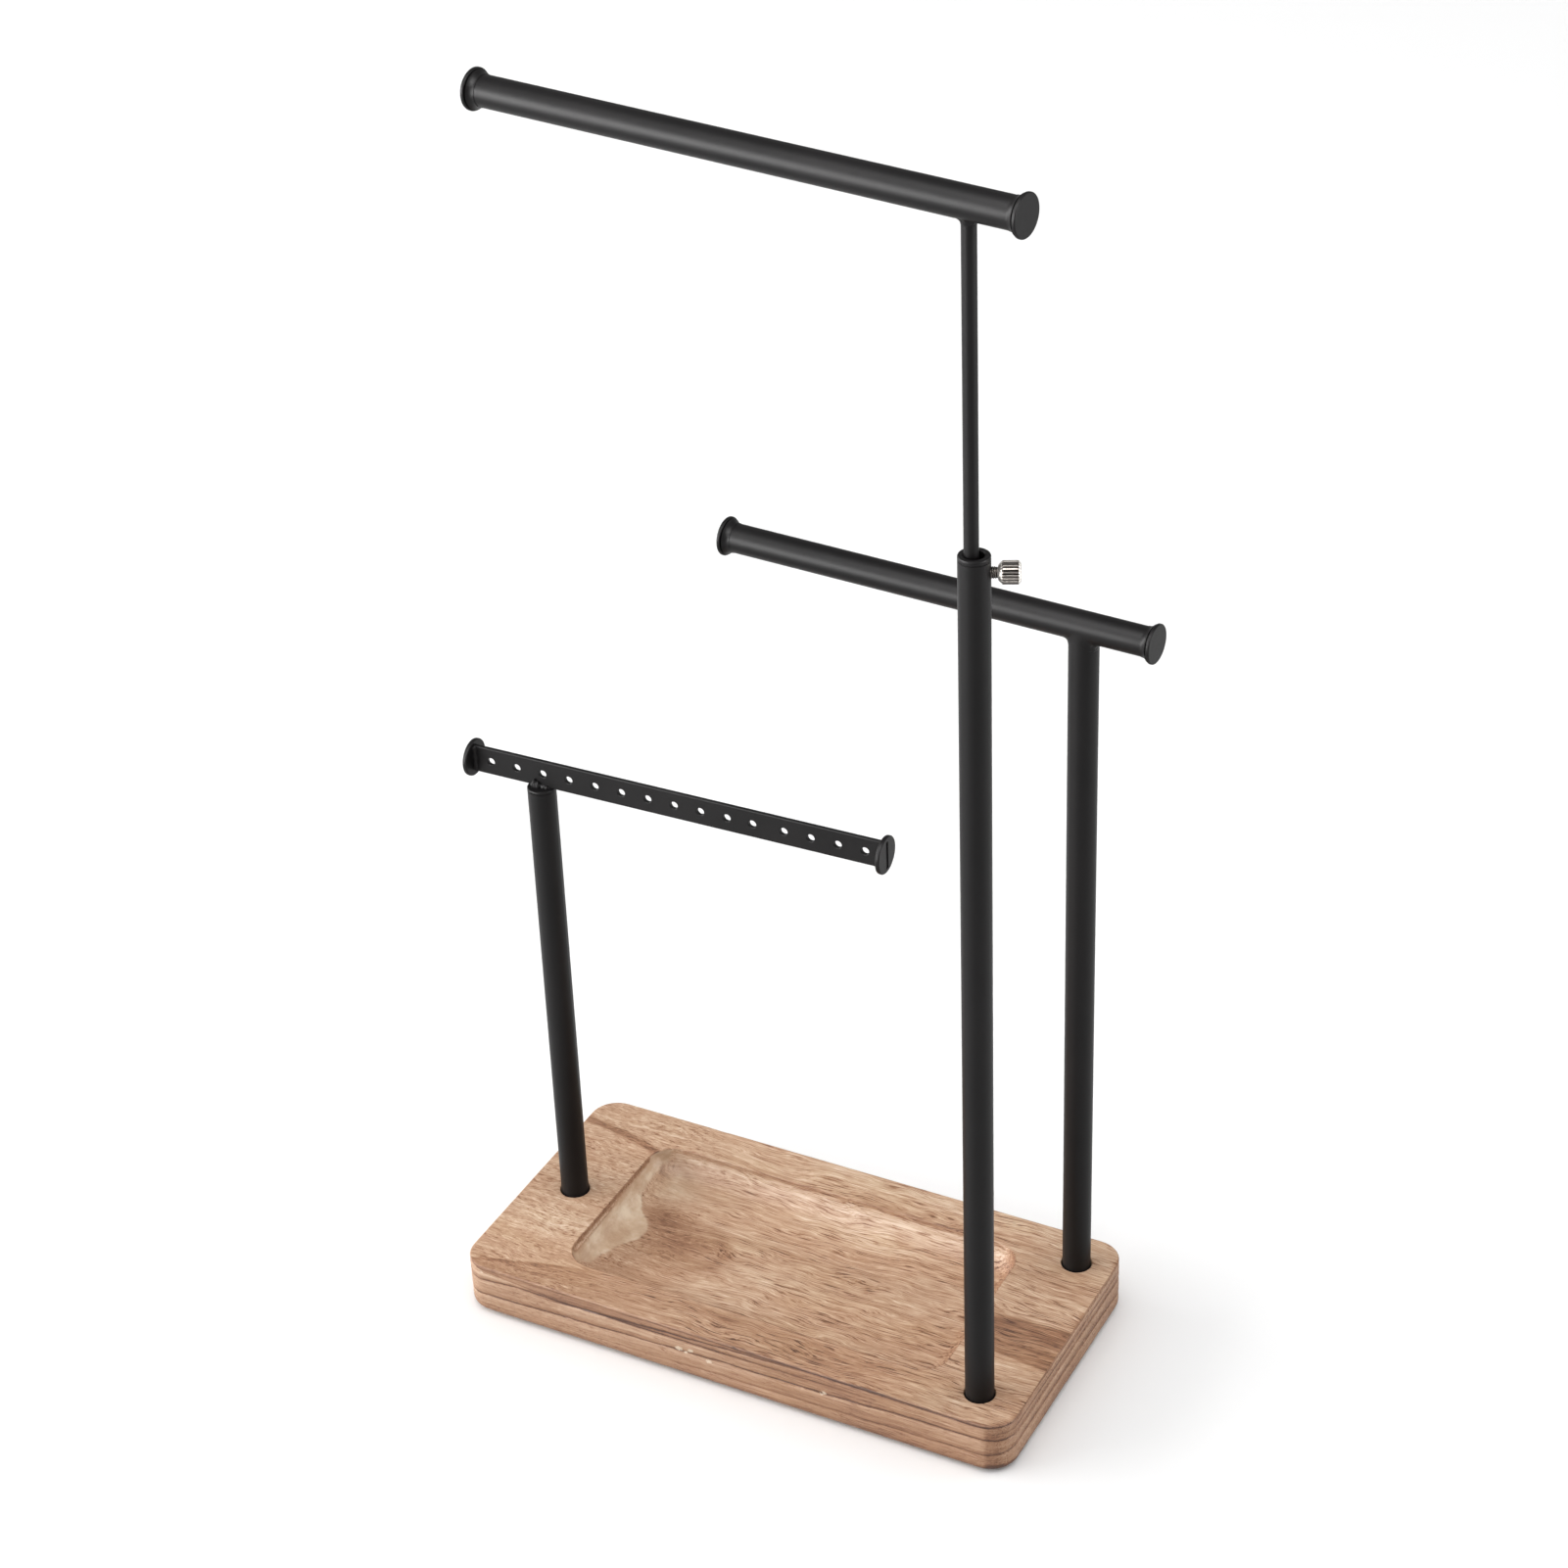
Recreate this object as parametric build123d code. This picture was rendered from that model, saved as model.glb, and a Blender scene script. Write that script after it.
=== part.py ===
from build123d import *
import math
import os

# Three-tier jewellery stand: a dished wooden base, three round steel posts, a fixed
# middle T-bar, a flat pierced earring bar and a top T-bar whose thin rod telescopes in
# the tall post and is clamped by a knurled thumbscrew.
# Millimetres, +Z up, origin on the surface the stand rests on, under the middle of the
# board. +X runs along the board to the right, -Y faces the viewer.

os.makedirs("parts", exist_ok=True)

# ---------------------------------------------------------------- driving dimensions
PAD_T = 1.0            # anti-slip pads under the board
PAD_R = 6.0
PAD_X, PAD_Y = 72.0, 42.0

BOARD_L, BOARD_W, BOARD_T = 210.0, 104.0, 20.0
BOARD_R = 10.0         # plan corner radius
BOARD_EDGE_LOW = 2.5   # rounding of the lower edge
BOARD_EDGE_TOP = 0.6   # easing of the upper edge

TRAY_L, TRAY_W, TRAY_R = 145.0, 72.0, 10.0
TRAY_DEPTH = 9.0
TRAY_COVE = 8.4        # cove between the tray's floor and its wall

TUBE_OD, TUBE_WALL = 9.8, 0.8       # 3/8 inch tube with its coating
TUBE_R = TUBE_OD / 2
TUBE_IR = TUBE_R - TUBE_WALL

LEFT_POST = (-88.0, 0.0)
TALL_POST = (89.0, -37.5)
BACK_POST = (91.6, 37.5)

SOCKET_R, SOCKET_DEPTH = 5.3, 8.0     # hole the post foot stands in
SCREW_CLEAR_R = 2.7
CBORE_R, CBORE_DEPTH = 6.2, 6.0        # recess for washer and screw head

INSERT_R, INSERT_L, INSERT_BORE_R = TUBE_IR - 0.05, 12.0, 2.5
FOOT_SCREW_R, FOOT_SCREW_L = 2.45, 16.0
FOOT_HEAD_R, FOOT_HEAD_H = 4.5, 3.0
WASHER_R, WASHER_HOLE_R, WASHER_T = 5.6, 2.75, 1.0

TOP_BAR_Z = PAD_T + 442.0
MID_BAR_Z = PAD_T + 273.5
EAR_BAR_Z = PAD_T + 196.0
COLLAR_TOP_Z = PAD_T + 335.0

TOP_BAR_YAW, MID_BAR_YAW, EAR_BAR_YAW = -7.5, -3.7, 0.9     # as they stand in the photo
TOP_BAR_X = (-171.0, 18.4)      # outer faces of the two discs, from the rod's axis
MID_BAR_X = (-130.2, 25.1)      # from the back post's axis
EAR_BAR_X = (-26.5, 127.5)      # from the left post's axis

DISC_R, DISC_T, DISC_EDGE = 6.5, 1.2, 0.38
NECK_L, NECK_R = 2.3, 6.05      # flared neck behind each tube cap's disc
GROOVE_L, GROOVE_R = 0.45, 5.3   # shadow groove between neck and disc
EAR_DISC_T, EAR_DISC_EDGE = 1.5, 0.45
SPIGOT_L = 6.0

STRIP_H, STRIP_T = 10.0, 1.5
STRIP_RECESS = 0.35             # the strip's ends stop this far inside the discs' faces
EAR_HOLE_R = 1.38
EAR_HOLES = [-18.7, -8.8, 1.15, 11.1, 21.05, 31.0, 40.9, 50.7, 60.45, 70.2,
             79.5, 90.9, 100.6, 110.3, 120.0]

ROD_R = 2.25
ROD_OFFSET = 0.8                # the clamped rod is pushed this far off the tube's axis
ROD_INSIDE = 56.0               # length of rod inside the tube as it stands

BUSH_BORE_R = 3.15
BUSH_FLANGE_T, BUSH_SPIGOT_L = 1.6, 18.0

SCREW_ANGLE = 24.5              # direction of the thumbscrew, from +X towards +Y
SCREW_Z = PAD_T + 329.1
SHANK_R, SHANK_PITCH, SHANK_THREAD = 1.8, 0.6, 0.22
SHANK_HOLE_R = 1.87
HEAD_IN, HEAD_OUT = 6.75, 13.45   # ends of the knurled head, from the tube's axis
HEAD_R, HEAD_TEETH, TOOTH_DEPTH = 3.5, 22, 0.36

HX, HY = math.cos(math.radians(SCREW_ANGLE)), math.sin(math.radians(SCREW_ANGLE))
ROD_XY = (TALL_POST[0] - ROD_OFFSET * HX, TALL_POST[1] - ROD_OFFSET * HY)

BOARD_Z0 = PAD_T
BOARD_Z1 = PAD_T + BOARD_T
SOCKET_Z = BOARD_Z1 - SOCKET_DEPTH
CBORE_Z = BOARD_Z0 + CBORE_DEPTH
POSTS = (LEFT_POST, TALL_POST, BACK_POST)


# ---------------------------------------------------------------- helpers
def zcyl(r, x, y, z0, z1):
    """Cylinder along Z."""
    return Pos(x, y, (z0 + z1) / 2) * Cylinder(r, z1 - z0)


def xcyl(r, x0, x1):
    """Cylinder along local X."""
    return Pos((x0 + x1) / 2, 0, 0) * Cylinder(r, x1 - x0, rotation=(0, 90, 0))


def spin_x(points):
    """Solid of revolution about X from (x, r) points; a 3-tuple of points is an arc."""
    edges = []
    for seg in points:
        if len(seg) == 2:
            edges.append(Line(seg[0], seg[1]))
        else:
            edges.append(ThreePointArc(*seg))
    face = make_face(Wire(edges))
    return revolve(face, Axis.X, 360)


def spin_z(pts, x, y):
    """Solid of revolution about a vertical axis at x, y from plain (r, z) points."""
    face = Plane.XZ * make_face(Polyline(*pts, close=True))
    return Pos(x, y, 0) * revolve(face, Axis.Z, 360)


def solids_of(shape):
    return list(shape.solids())


def save(shape, node):
    sol = solids_of(shape)
    out = sol[0] if len(sol) == 1 else Compound(children=sol)
    out.label = node
    export_step(out, f"parts/{node}.step")
    return out


def bar_frame(x, y, z, yaw):
    return Pos(x, y, z) * Rot(0, 0, yaw)


# ---------------------------------------------------------------- wooden base
board = extrude(RectangleRounded(BOARD_L, BOARD_W, BOARD_R), BOARD_T)
board = Pos(0, 0, BOARD_Z0) * board
board = fillet(board.faces().sort_by(Axis.Z)[0].edges(), BOARD_EDGE_LOW)
board = fillet(board.faces().sort_by(Axis.Z)[-1].edges(), BOARD_EDGE_TOP)

tray = Pos(0, 0, BOARD_Z1 - TRAY_DEPTH) * extrude(
    RectangleRounded(TRAY_L, TRAY_W, TRAY_R), TRAY_DEPTH + 5)
tray = fillet(tray.faces().sort_by(Axis.Z)[0].edges(), TRAY_COVE)
board -= tray
for px, py in POSTS:
    board -= zcyl(SOCKET_R, px, py, SOCKET_Z, BOARD_Z1 + 1)
    board -= zcyl(SCREW_CLEAR_R, px, py, BOARD_Z0 - 1, BOARD_Z1)
    board -= zcyl(CBORE_R, px, py, BOARD_Z0 - 1, CBORE_Z)
save(board, "base_board")

pads = [zcyl(PAD_R, sx * PAD_X, sy * PAD_Y, 0, PAD_T)
        for sx in (-1, 1) for sy in (-1, 1)]
save(Compound(children=[p.solids()[0] for p in pads]), "anti_slip_pads")

# ---------------------------------------------------------------- post feet
inserts, screws, washers = [], [], []
for px, py in POSTS:
    ins = zcyl(INSERT_R, px, py, SOCKET_Z, SOCKET_Z + INSERT_L)
    ins = chamfer(ins.edges().group_by(Axis.Z)[-1], 0.6)
    ins -= zcyl(INSERT_BORE_R, px, py, SOCKET_Z - 1, SOCKET_Z + INSERT_L + 1)
    inserts.append(ins.solids()[0])

    wash = zcyl(WASHER_R, px, py, CBORE_Z - WASHER_T, CBORE_Z)
    wash -= zcyl(WASHER_HOLE_R, px, py, CBORE_Z - WASHER_T - 1, CBORE_Z + 1)
    washers.append(wash.solids()[0])

    seat = CBORE_Z - WASHER_T
    head = zcyl(FOOT_HEAD_R, px, py, seat - FOOT_HEAD_H, seat)
    head = fillet(head.edges().group_by(Axis.Z)[0], 1.2)
    shank = zcyl(FOOT_SCREW_R, px, py, seat, seat + FOOT_SCREW_L)
    shank = chamfer(shank.edges().group_by(Axis.Z)[-1], 0.5)
    screw = head + shank
    drive = Pos(px, py, seat - FOOT_HEAD_H + 0.75) * (
        Box(5.0, 0.9, 1.7) + Box(0.9, 5.0, 1.7))
    screw -= drive
    screws.append(screw.solids()[0])
save(Compound(children=inserts), "post_foot_inserts")
save(Compound(children=screws), "post_screws")
save(Compound(children=washers), "post_washers")


# ---------------------------------------------------------------- tubes, caps and discs
def tube_z(x, y, z0, z1):
    return zcyl(TUBE_R, x, y, z0, z1) - zcyl(TUBE_IR, x, y, z0 - 1, z1 + 1)


def tube_cap():
    """Disc cap pressed into a tube; outer face at x=0, tube on the +X side."""
    e, t, r = DISC_EDGE, DISC_T, DISC_R
    q = e * (1 - math.sqrt(0.5))
    skirt = TUBE_R + 0.05
    g = t + GROOVE_L
    xe = g + NECK_L
    # concave arc between (g, NECK_R) and (xe, skirt + 0.08)
    mx = g + NECK_L * 0.36
    mr = skirt + 0.08 + (NECK_R - skirt - 0.08) * 0.34
    spig = TUBE_IR - 0.05
    pts = [
        ((0, 0), (0, r - e)),
        ((0, r - e), (q, r - q), (e, r)),
        ((e, r), (t - e, r)),
        ((t - e, r), (t - q, r - q), (t, r - e)),
        ((t, r - e), (t, GROOVE_R)),
        ((t, GROOVE_R), (g, GROOVE_R)),
        ((g, GROOVE_R), (g, NECK_R)),
        ((g, NECK_R), (mx, mr), (xe, skirt + 0.08)),
        ((xe, skirt + 0.08), (xe, skirt)),
        ((xe, skirt), (t, skirt)),
        ((t, skirt), (t, spig)),
        ((t, spig), (t + SPIGOT_L - 0.6, spig)),
        ((t + SPIGOT_L - 0.6, spig), (t + SPIGOT_L, spig - 0.6)),
        ((t + SPIGOT_L, spig - 0.6), (t + SPIGOT_L, 0)),
        ((t + SPIGOT_L, 0), (0, 0)),
    ]
    return spin_x(pts)


def round_bar(x0, x1):
    """Tube of a T-bar between its two caps' discs, along local X."""
    a, b = x0 + DISC_T, x1 - DISC_T
    bar = xcyl(TUBE_R, a, b) - xcyl(TUBE_IR, a - 1, b + 1)
    return bar


CAP = tube_cap()


def caps_for(x0, x1):
    left = Pos(x0, 0, 0) * CAP
    right = Pos(x1, 0, 0) * Rot(0, 0, 180) * CAP
    return left, right


# fixed middle T-bar on the back post
mid = bar_frame(BACK_POST[0], BACK_POST[1], MID_BAR_Z, MID_BAR_YAW)
save(mid * round_bar(*MID_BAR_X), "middle_bar_tube")
cl, cr = caps_for(*MID_BAR_X)
save(mid * cl, "middle_bar_cap_left")
save(mid * cr, "middle_bar_cap_right")

# the back post's top is coped to the bar's underside
back_tube = tube_z(0, 0, SOCKET_Z - MID_BAR_Z, -1.0) - xcyl(TUBE_R + 0.03, -20, 20)
back_tube = max(solids_of(back_tube), key=lambda s: s.volume)
save(mid * back_tube, "back_post_tube")

# weld round the coped joint: a thin fillet that hugs both tubes
cone = spin_z([(0, -TUBE_R - 2.7), (TUBE_R + 0.02, -TUBE_R - 2.7), (TUBE_R + 0.55, -TUBE_R - 1.3),
               (TUBE_R + 2.2, -TUBE_R + 0.30), (TUBE_R + 2.2, -1.2), (0, -1.2)], 0, 0)
weld = cone & xcyl(TUBE_R + 1.25, -20, 20)
weld = weld + (spin_z([(0, -TUBE_R - 2.7), (TUBE_R + 0.02, -TUBE_R - 2.7), (TUBE_R + 0.55, -TUBE_R - 1.3),
                       (TUBE_R + 0.8, -TUBE_R), (0, -TUBE_R)], 0, 0))
weld = weld - xcyl(TUBE_R + 0.01, -20, 20) - zcyl(TUBE_R + 0.01, 0, 0, -60, 20)
weld = max(solids_of(weld), key=lambda s: s.volume)
save(mid * weld, "middle_bar_weld")

# top T-bar on the sliding rod
top = bar_frame(ROD_XY[0], ROD_XY[1], TOP_BAR_Z, TOP_BAR_YAW)
save(top * round_bar(*TOP_BAR_X), "top_bar_tube")
cl, cr = caps_for(*TOP_BAR_X)
save(top * cl, "top_bar_cap_left")
save(top * cr, "top_bar_cap_right")

rod_z0 = COLLAR_TOP_Z - ROD_INSIDE
rod_top = TOP_BAR_Z - TUBE_R - 0.02
rod = zcyl(ROD_R, ROD_XY[0], ROD_XY[1], rod_z0, rod_top)
rod = chamfer(rod.edges().group_by(Axis.Z)[0], 0.5)
save(rod, "riser_rod")

# weld collar between the rod's end and the bar's underside
tz = -TUBE_R
wc = spin_z([(0, tz - 0.02), (ROD_R + 0.03, tz - 0.02), (ROD_R + 0.03, tz - 2.0), (ROD_R + 0.16, tz - 2.0),
             (ROD_R + 0.55, tz - 0.95), (ROD_R + 1.6, tz + 0.15), (ROD_R + 1.6, tz + 2.0),
             (0, tz + 2.0)], 0, 0)
wc = wc - xcyl(TUBE_R, -20, 20)
wc = wc & xcyl(TUBE_R + 1.7, -20, 20)
wc = max(solids_of(wc), key=lambda s: s.volume)
save(top * wc, "top_bar_weld")

# ---------------------------------------------------------------- tall post and bushing
collar_z0 = COLLAR_TOP_Z - BUSH_FLANGE_T
screw_frame = Pos(TALL_POST[0], TALL_POST[1], SCREW_Z) * Rot(0, 0, SCREW_ANGLE)
tall_tube = tube_z(*TALL_POST, SOCKET_Z, collar_z0)
tall_tube -= screw_frame * xcyl(SHANK_HOLE_R, 0, 12)
save(tall_tube, "tall_post_tube")

bush = spin_z([
    (BUSH_BORE_R, collar_z0 - BUSH_SPIGOT_L), (TUBE_IR - 0.45, collar_z0 - BUSH_SPIGOT_L),
    (TUBE_IR - 0.05, collar_z0 - BUSH_SPIGOT_L + 0.4), (TUBE_IR - 0.05, collar_z0),
    (TUBE_R - 0.2, collar_z0), (TUBE_R, collar_z0 + 0.2), (TUBE_R, COLLAR_TOP_Z - 0.5), (TUBE_R - 0.15, COLLAR_TOP_Z - 0.15),
    (TUBE_R - 0.5, COLLAR_TOP_Z), (BUSH_BORE_R + 0.3, COLLAR_TOP_Z), (BUSH_BORE_R, COLLAR_TOP_Z - 0.3)],
    *TALL_POST)
bush -= screw_frame * xcyl(SHANK_HOLE_R, 0, 12)
save(bush, "tall_post_bushing")

# ---------------------------------------------------------------- thumbscrew
tip = ROD_R - ROD_OFFSET + 0.05
n = int((HEAD_IN - 0.5 - (tip + 0.7)) / SHANK_PITCH)
prof = [((tip, 0), (tip, SHANK_R - 0.55)), ((tip, SHANK_R - 0.55), (tip + 0.5, SHANK_R - SHANK_THREAD))]
x = tip + 0.5
for i in range(n):
    prof.append(((x, SHANK_R - SHANK_THREAD), (x + SHANK_PITCH * 0.42, SHANK_R)))
    prof.append(((x + SHANK_PITCH * 0.42, SHANK_R), (x + SHANK_PITCH * 0.58, SHANK_R)))
    prof.append(((x + SHANK_PITCH * 0.58, SHANK_R), (x + SHANK_PITCH, SHANK_R - SHANK_THREAD)))
    x += SHANK_PITCH
prof += [((x, SHANK_R - SHANK_THREAD), (HEAD_IN, SHANK_R - SHANK_THREAD)),
         ((HEAD_IN, SHANK_R - SHANK_THREAD), (HEAD_IN, 0)), ((HEAD_IN, 0), (tip, 0))]
shank = spin_x(prof)
save(screw_frame * shank, "thumbscrew_shank")

pts = []
for i in range(HEAD_TEETH):
    a = 2 * math.pi * i / HEAD_TEETH
    w = 2 * math.pi / HEAD_TEETH
    for da, rr in ((0.0, HEAD_R - TOOTH_DEPTH), (0.30, HEAD_R), (0.70, HEAD_R)):
        pts.append((rr * math.cos(a + da * w), rr * math.sin(a + da * w)))
star = make_face(Polyline(*pts, close=True))
knurl = Pos(HEAD_IN, 0, 0) * Rot(0, 90, 0) * extrude(star, HEAD_OUT - HEAD_IN)
env = spin_x([((HEAD_IN, 0), (HEAD_IN, 2.35)), ((HEAD_IN, 2.35), (HEAD_IN + 0.35, 2.7)),
              ((HEAD_IN + 0.35, 2.7), (HEAD_IN + 1.1, HEAD_R + 0.01)),
              ((HEAD_IN + 1.1, HEAD_R + 0.01), (HEAD_OUT - 0.8, HEAD_R + 0.01)),
              ((HEAD_OUT - 0.8, HEAD_R + 0.01), (HEAD_OUT, HEAD_R - 0.75)),
              ((HEAD_OUT, HEAD_R - 0.75), (HEAD_OUT, 0)), ((HEAD_OUT, 0), (HEAD_IN, 0))])
head = knurl & env
save(screw_frame * head, "thumbscrew_head")

# ---------------------------------------------------------------- earring bar on the left post
ear = bar_frame(LEFT_POST[0], LEFT_POST[1], EAR_BAR_Z, EAR_BAR_YAW)
strip = Pos((EAR_BAR_X[0] + EAR_BAR_X[1]) / 2, 0, 0) * Box(
    EAR_BAR_X[1] - EAR_BAR_X[0] - 2 * STRIP_RECESS, STRIP_T, STRIP_H)
strip = fillet(strip.edges().filter_by(Axis.X), 0.35)
for hx in EAR_HOLES:
    strip -= Pos(hx, 0, 0) * Cylinder(EAR_HOLE_R, 10, rotation=(90, 0, 0))
strip = chamfer(strip.edges().filter_by(GeomType.CIRCLE).filter_by(
    lambda e: abs(e.radius - EAR_HOLE_R) < 1e-6), 0.18)
save(ear * strip, "earring_bar_strip")


def ear_disc():
    """Round end plate with a slot for the strip; outer face at x=0."""
    e, t, r = EAR_DISC_EDGE, EAR_DISC_T, DISC_R
    q = e * (1 - math.sqrt(0.5))
    d = spin_x([
        ((0, 0), (0, r - e)),
        ((0, r - e), (q, r - q), (e, r)),
        ((e, r), (t - e, r)),
        ((t - e, r), (t - q, r - q), (t, r - e)),
        ((t, r - e), (t, 0)),
        ((t, 0), (0, 0))])
    return d - Pos(t / 2, 0, 0) * Box(t + 2, STRIP_T + 0.12, STRIP_H + 0.12)


dl = Pos(EAR_BAR_X[0], 0, 0) * ear_disc()
dr = Pos(EAR_BAR_X[1], 0, 0) * Rot(0, 0, 180) * ear_disc()
save(ear * dl, "earring_bar_disc_left")
save(ear * dr, "earring_bar_disc_right")

# thin weld fillets between the strip's faces and the discs
beads = []
for xi, sx in ((EAR_BAR_X[0] + EAR_DISC_T, 1), (EAR_BAR_X[1] - EAR_DISC_T, -1)):
    for sy in (-1, 1):
        tri = make_face(Polyline((xi, sy * STRIP_T / 2), (xi + sx * 0.85, sy * STRIP_T / 2),
                                 (xi + sx * 0.2, sy * (STRIP_T / 2 + 0.3)),
                                 (xi, sy * (STRIP_T / 2 + 0.85)), close=True))
        b = Pos(0, 0, -STRIP_H / 2 + 0.5) * extrude(tri, STRIP_H - 1.0, dir=(0, 0, 1))
        beads.append((ear * b).solids()[0])
save(Compound(children=beads), "earring_disc_welds")

plug_top = EAR_BAR_Z - STRIP_H / 2
plug_z0 = plug_top - 1.1
left_tube = tube_z(*LEFT_POST, SOCKET_Z, plug_z0)
save(left_tube, "earring_post_tube")

plug = spin_z([
    (0, plug_z0 - SPIGOT_L), (TUBE_IR - 0.65, plug_z0 - SPIGOT_L), (TUBE_IR - 0.05, plug_z0 - SPIGOT_L + 0.6),
    (TUBE_IR - 0.05, plug_z0), (TUBE_R - 0.2, plug_z0), (TUBE_R, plug_z0 + 0.2), (TUBE_R, plug_top - 0.45),
    (TUBE_R - 0.15, plug_top - 0.15), (TUBE_R - 0.5, plug_top), (0, plug_top)], *LEFT_POST)
save(plug, "earring_post_plug")

# weld beads along the foot of the strip, front and back
bead = None
BEADS = ((-1, -3.1, 1.35), (-1, -1.9, 1.75), (-1, -0.4, 1.65), (-1, 1.3, 1.1), (-1, 2.7, 0.85),
         (1, -2.6, 1.1), (1, -1.0, 1.3), (1, 0.7, 1.2), (1, 2.3, 0.95))
for sy, bx, br in BEADS:
    s = Pos(bx, sy * (STRIP_T / 2 + 0.15), -STRIP_H / 2 + 0.25) * Sphere(br)
    bead = s if bead is None else bead + s
bead = ear * bead
slab = Pos(LEFT_POST[0], LEFT_POST[1], plug_top + 1.0) * Box(40, 40, 2.0)
bead = bead & slab
bead = bead - (ear * (Pos(0, 0, 0) * Box(60, STRIP_T, STRIP_H)))
save(bead, "earring_bar_weld")

print("rod from z", round(rod_z0, 2), "to", round(rod_top, 2), "length", round(rod_top - rod_z0, 2))
print("rod axis", [round(v, 4) for v in ROD_XY], "screw dir", round(HX, 5), round(HY, 5))
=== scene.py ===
import math

import bpy
import bmesh
import numpy as np
from mathutils import Matrix, Vector


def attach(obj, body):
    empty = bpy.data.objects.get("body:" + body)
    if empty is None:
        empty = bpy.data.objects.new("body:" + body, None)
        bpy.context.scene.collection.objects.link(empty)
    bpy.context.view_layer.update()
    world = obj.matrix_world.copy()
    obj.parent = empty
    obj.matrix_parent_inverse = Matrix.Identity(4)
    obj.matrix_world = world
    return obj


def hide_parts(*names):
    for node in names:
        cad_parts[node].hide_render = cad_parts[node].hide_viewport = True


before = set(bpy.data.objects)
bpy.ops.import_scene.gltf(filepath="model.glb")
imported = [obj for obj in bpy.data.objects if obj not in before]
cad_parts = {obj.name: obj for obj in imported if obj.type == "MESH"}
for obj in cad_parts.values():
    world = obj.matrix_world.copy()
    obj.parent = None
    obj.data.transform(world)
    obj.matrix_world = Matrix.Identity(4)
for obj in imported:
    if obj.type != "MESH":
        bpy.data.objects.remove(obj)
bpy.context.view_layer.update()
MM = 0.001

# ------------------------------------------------------------------ camera
SENSOR = 36.0
cam_data = bpy.data.cameras.new("camera")
cam_data.sensor_fit = "HORIZONTAL"
cam_data.sensor_width = SENSOR
cam_data.lens = 80.873
cam_data.dof.use_dof = False
cam_data.clip_start, cam_data.clip_end = 0.05, 60.0
cam = bpy.data.objects.new("camera", cam_data)
bpy.context.scene.collection.objects.link(cam)
RIGHT = Vector((0.888460, 0.457658, -0.034484))
UP = Vector((-0.216183, 0.483590, 0.848178))
BACK = -Vector((-0.404851, 0.746117, -0.528588))
EYE = Vector((0.460727, -0.841414, 0.812090))
cam.matrix_world = Matrix(((RIGHT.x, UP.x, BACK.x, EYE.x),
                           (RIGHT.y, UP.y, BACK.y, EYE.y),
                           (RIGHT.z, UP.z, BACK.z, EYE.z),
                           (0, 0, 0, 1)))
bpy.context.scene.camera = cam


# ------------------------------------------------------------------ helpers: meshes
def new_object(name, verts, faces, smooth=True, sharp_deg=None):
    """Mesh object from points in millimetres."""
    me = bpy.data.meshes.new(name)
    me.from_pydata((np.asarray(verts, float) * MM).tolist(), [], faces)
    me.validate()
    me.update()
    ob = bpy.data.objects.new(name, me)
    bpy.context.scene.collection.objects.link(ob)
    tidy(ob, smooth, sharp_deg)
    return ob


def tidy(ob, smooth=True, sharp_deg=None):
    """Outward normals, smooth shading and sharp edges by angle."""
    bm = bmesh.new()
    bm.from_mesh(ob.data)
    bmesh.ops.remove_doubles(bm, verts=bm.verts, dist=1e-7)
    bmesh.ops.dissolve_degenerate(bm, edges=bm.edges, dist=1e-8)
    bmesh.ops.recalc_face_normals(bm, faces=bm.faces)
    for f in bm.faces:
        f.smooth = smooth
    if sharp_deg is not None:
        lim = math.radians(sharp_deg)
        for e in bm.edges:
            e.smooth = not (len(e.link_faces) == 2 and e.calc_face_angle(0.0) > lim)
    bm.to_mesh(ob.data)
    bm.free()
    ob.data.update()


def grid_faces(nu, nv, wrap_u=True, wrap_v=False):
    """Quads over points stored as [v][u]."""
    out = []
    for j in range(nv if wrap_v else nv - 1):
        a, b = j * nu, ((j + 1) % nv) * nu
        for i in range(nu if wrap_u else nu - 1):
            k = (i + 1) % nu
            out.append((a + i, a + k, b + k, b + i))
    return out


def hash01(i, j, k, seed):
    n = (i * 374761393 + j * 668265263 + k * 2147483647 + seed * 1274126177) & 0xFFFFFFFF
    n = ((n ^ (n >> 13)) * 1274126177) & 0xFFFFFFFF
    n = n ^ (n >> 16)
    return (n & 0xFFFFFF) / float(0xFFFFFF)


def vnoise(p, seed=0):
    """Smooth value noise, -1 to 1, at points p (n, 3)."""
    p = np.asarray(p, float)
    c = np.floor(p).astype(np.int64)
    f = p - c
    f = f * f * f * (f * (f * 6 - 15) + 10)
    tot = np.zeros(len(p))
    for dx in (0, 1):
        for dy in (0, 1):
            for dz in (0, 1):
                w = (f[:, 0] if dx else 1 - f[:, 0]) * (f[:, 1] if dy else 1 - f[:, 1]) * (
                    f[:, 2] if dz else 1 - f[:, 2])
                tot += w * hash01(c[:, 0] + dx, c[:, 1] + dy, c[:, 2] + dz, seed)
    return tot * 2 - 1


def fbm(p, seed=0, octaves=3):
    p = np.asarray(p, float)
    s, a, t = 0.0, 0.5, 0.0
    for o in range(octaves):
        s = s + a * vnoise(p * 2 ** o, seed + 17 * o)
        t += a
        a *= 0.5
    return s / t


def sstep(x, lo, hi):
    t = np.clip((np.asarray(x, float) - lo) / (hi - lo), 0, 1)
    return t * t * (3 - 2 * t)


def add_vec(ob, name, columns):
    at = ob.data.attributes.new(name, "FLOAT_VECTOR", "POINT")
    at.data.foreach_set("vector", np.stack(columns, 1).astype(np.float32).ravel())


def points_mm(ob):
    co = np.zeros(len(ob.data.vertices) * 3, np.float32)
    ob.data.vertices.foreach_get("co", co)
    return co.reshape(-1, 3).astype(float) * 1000


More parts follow.
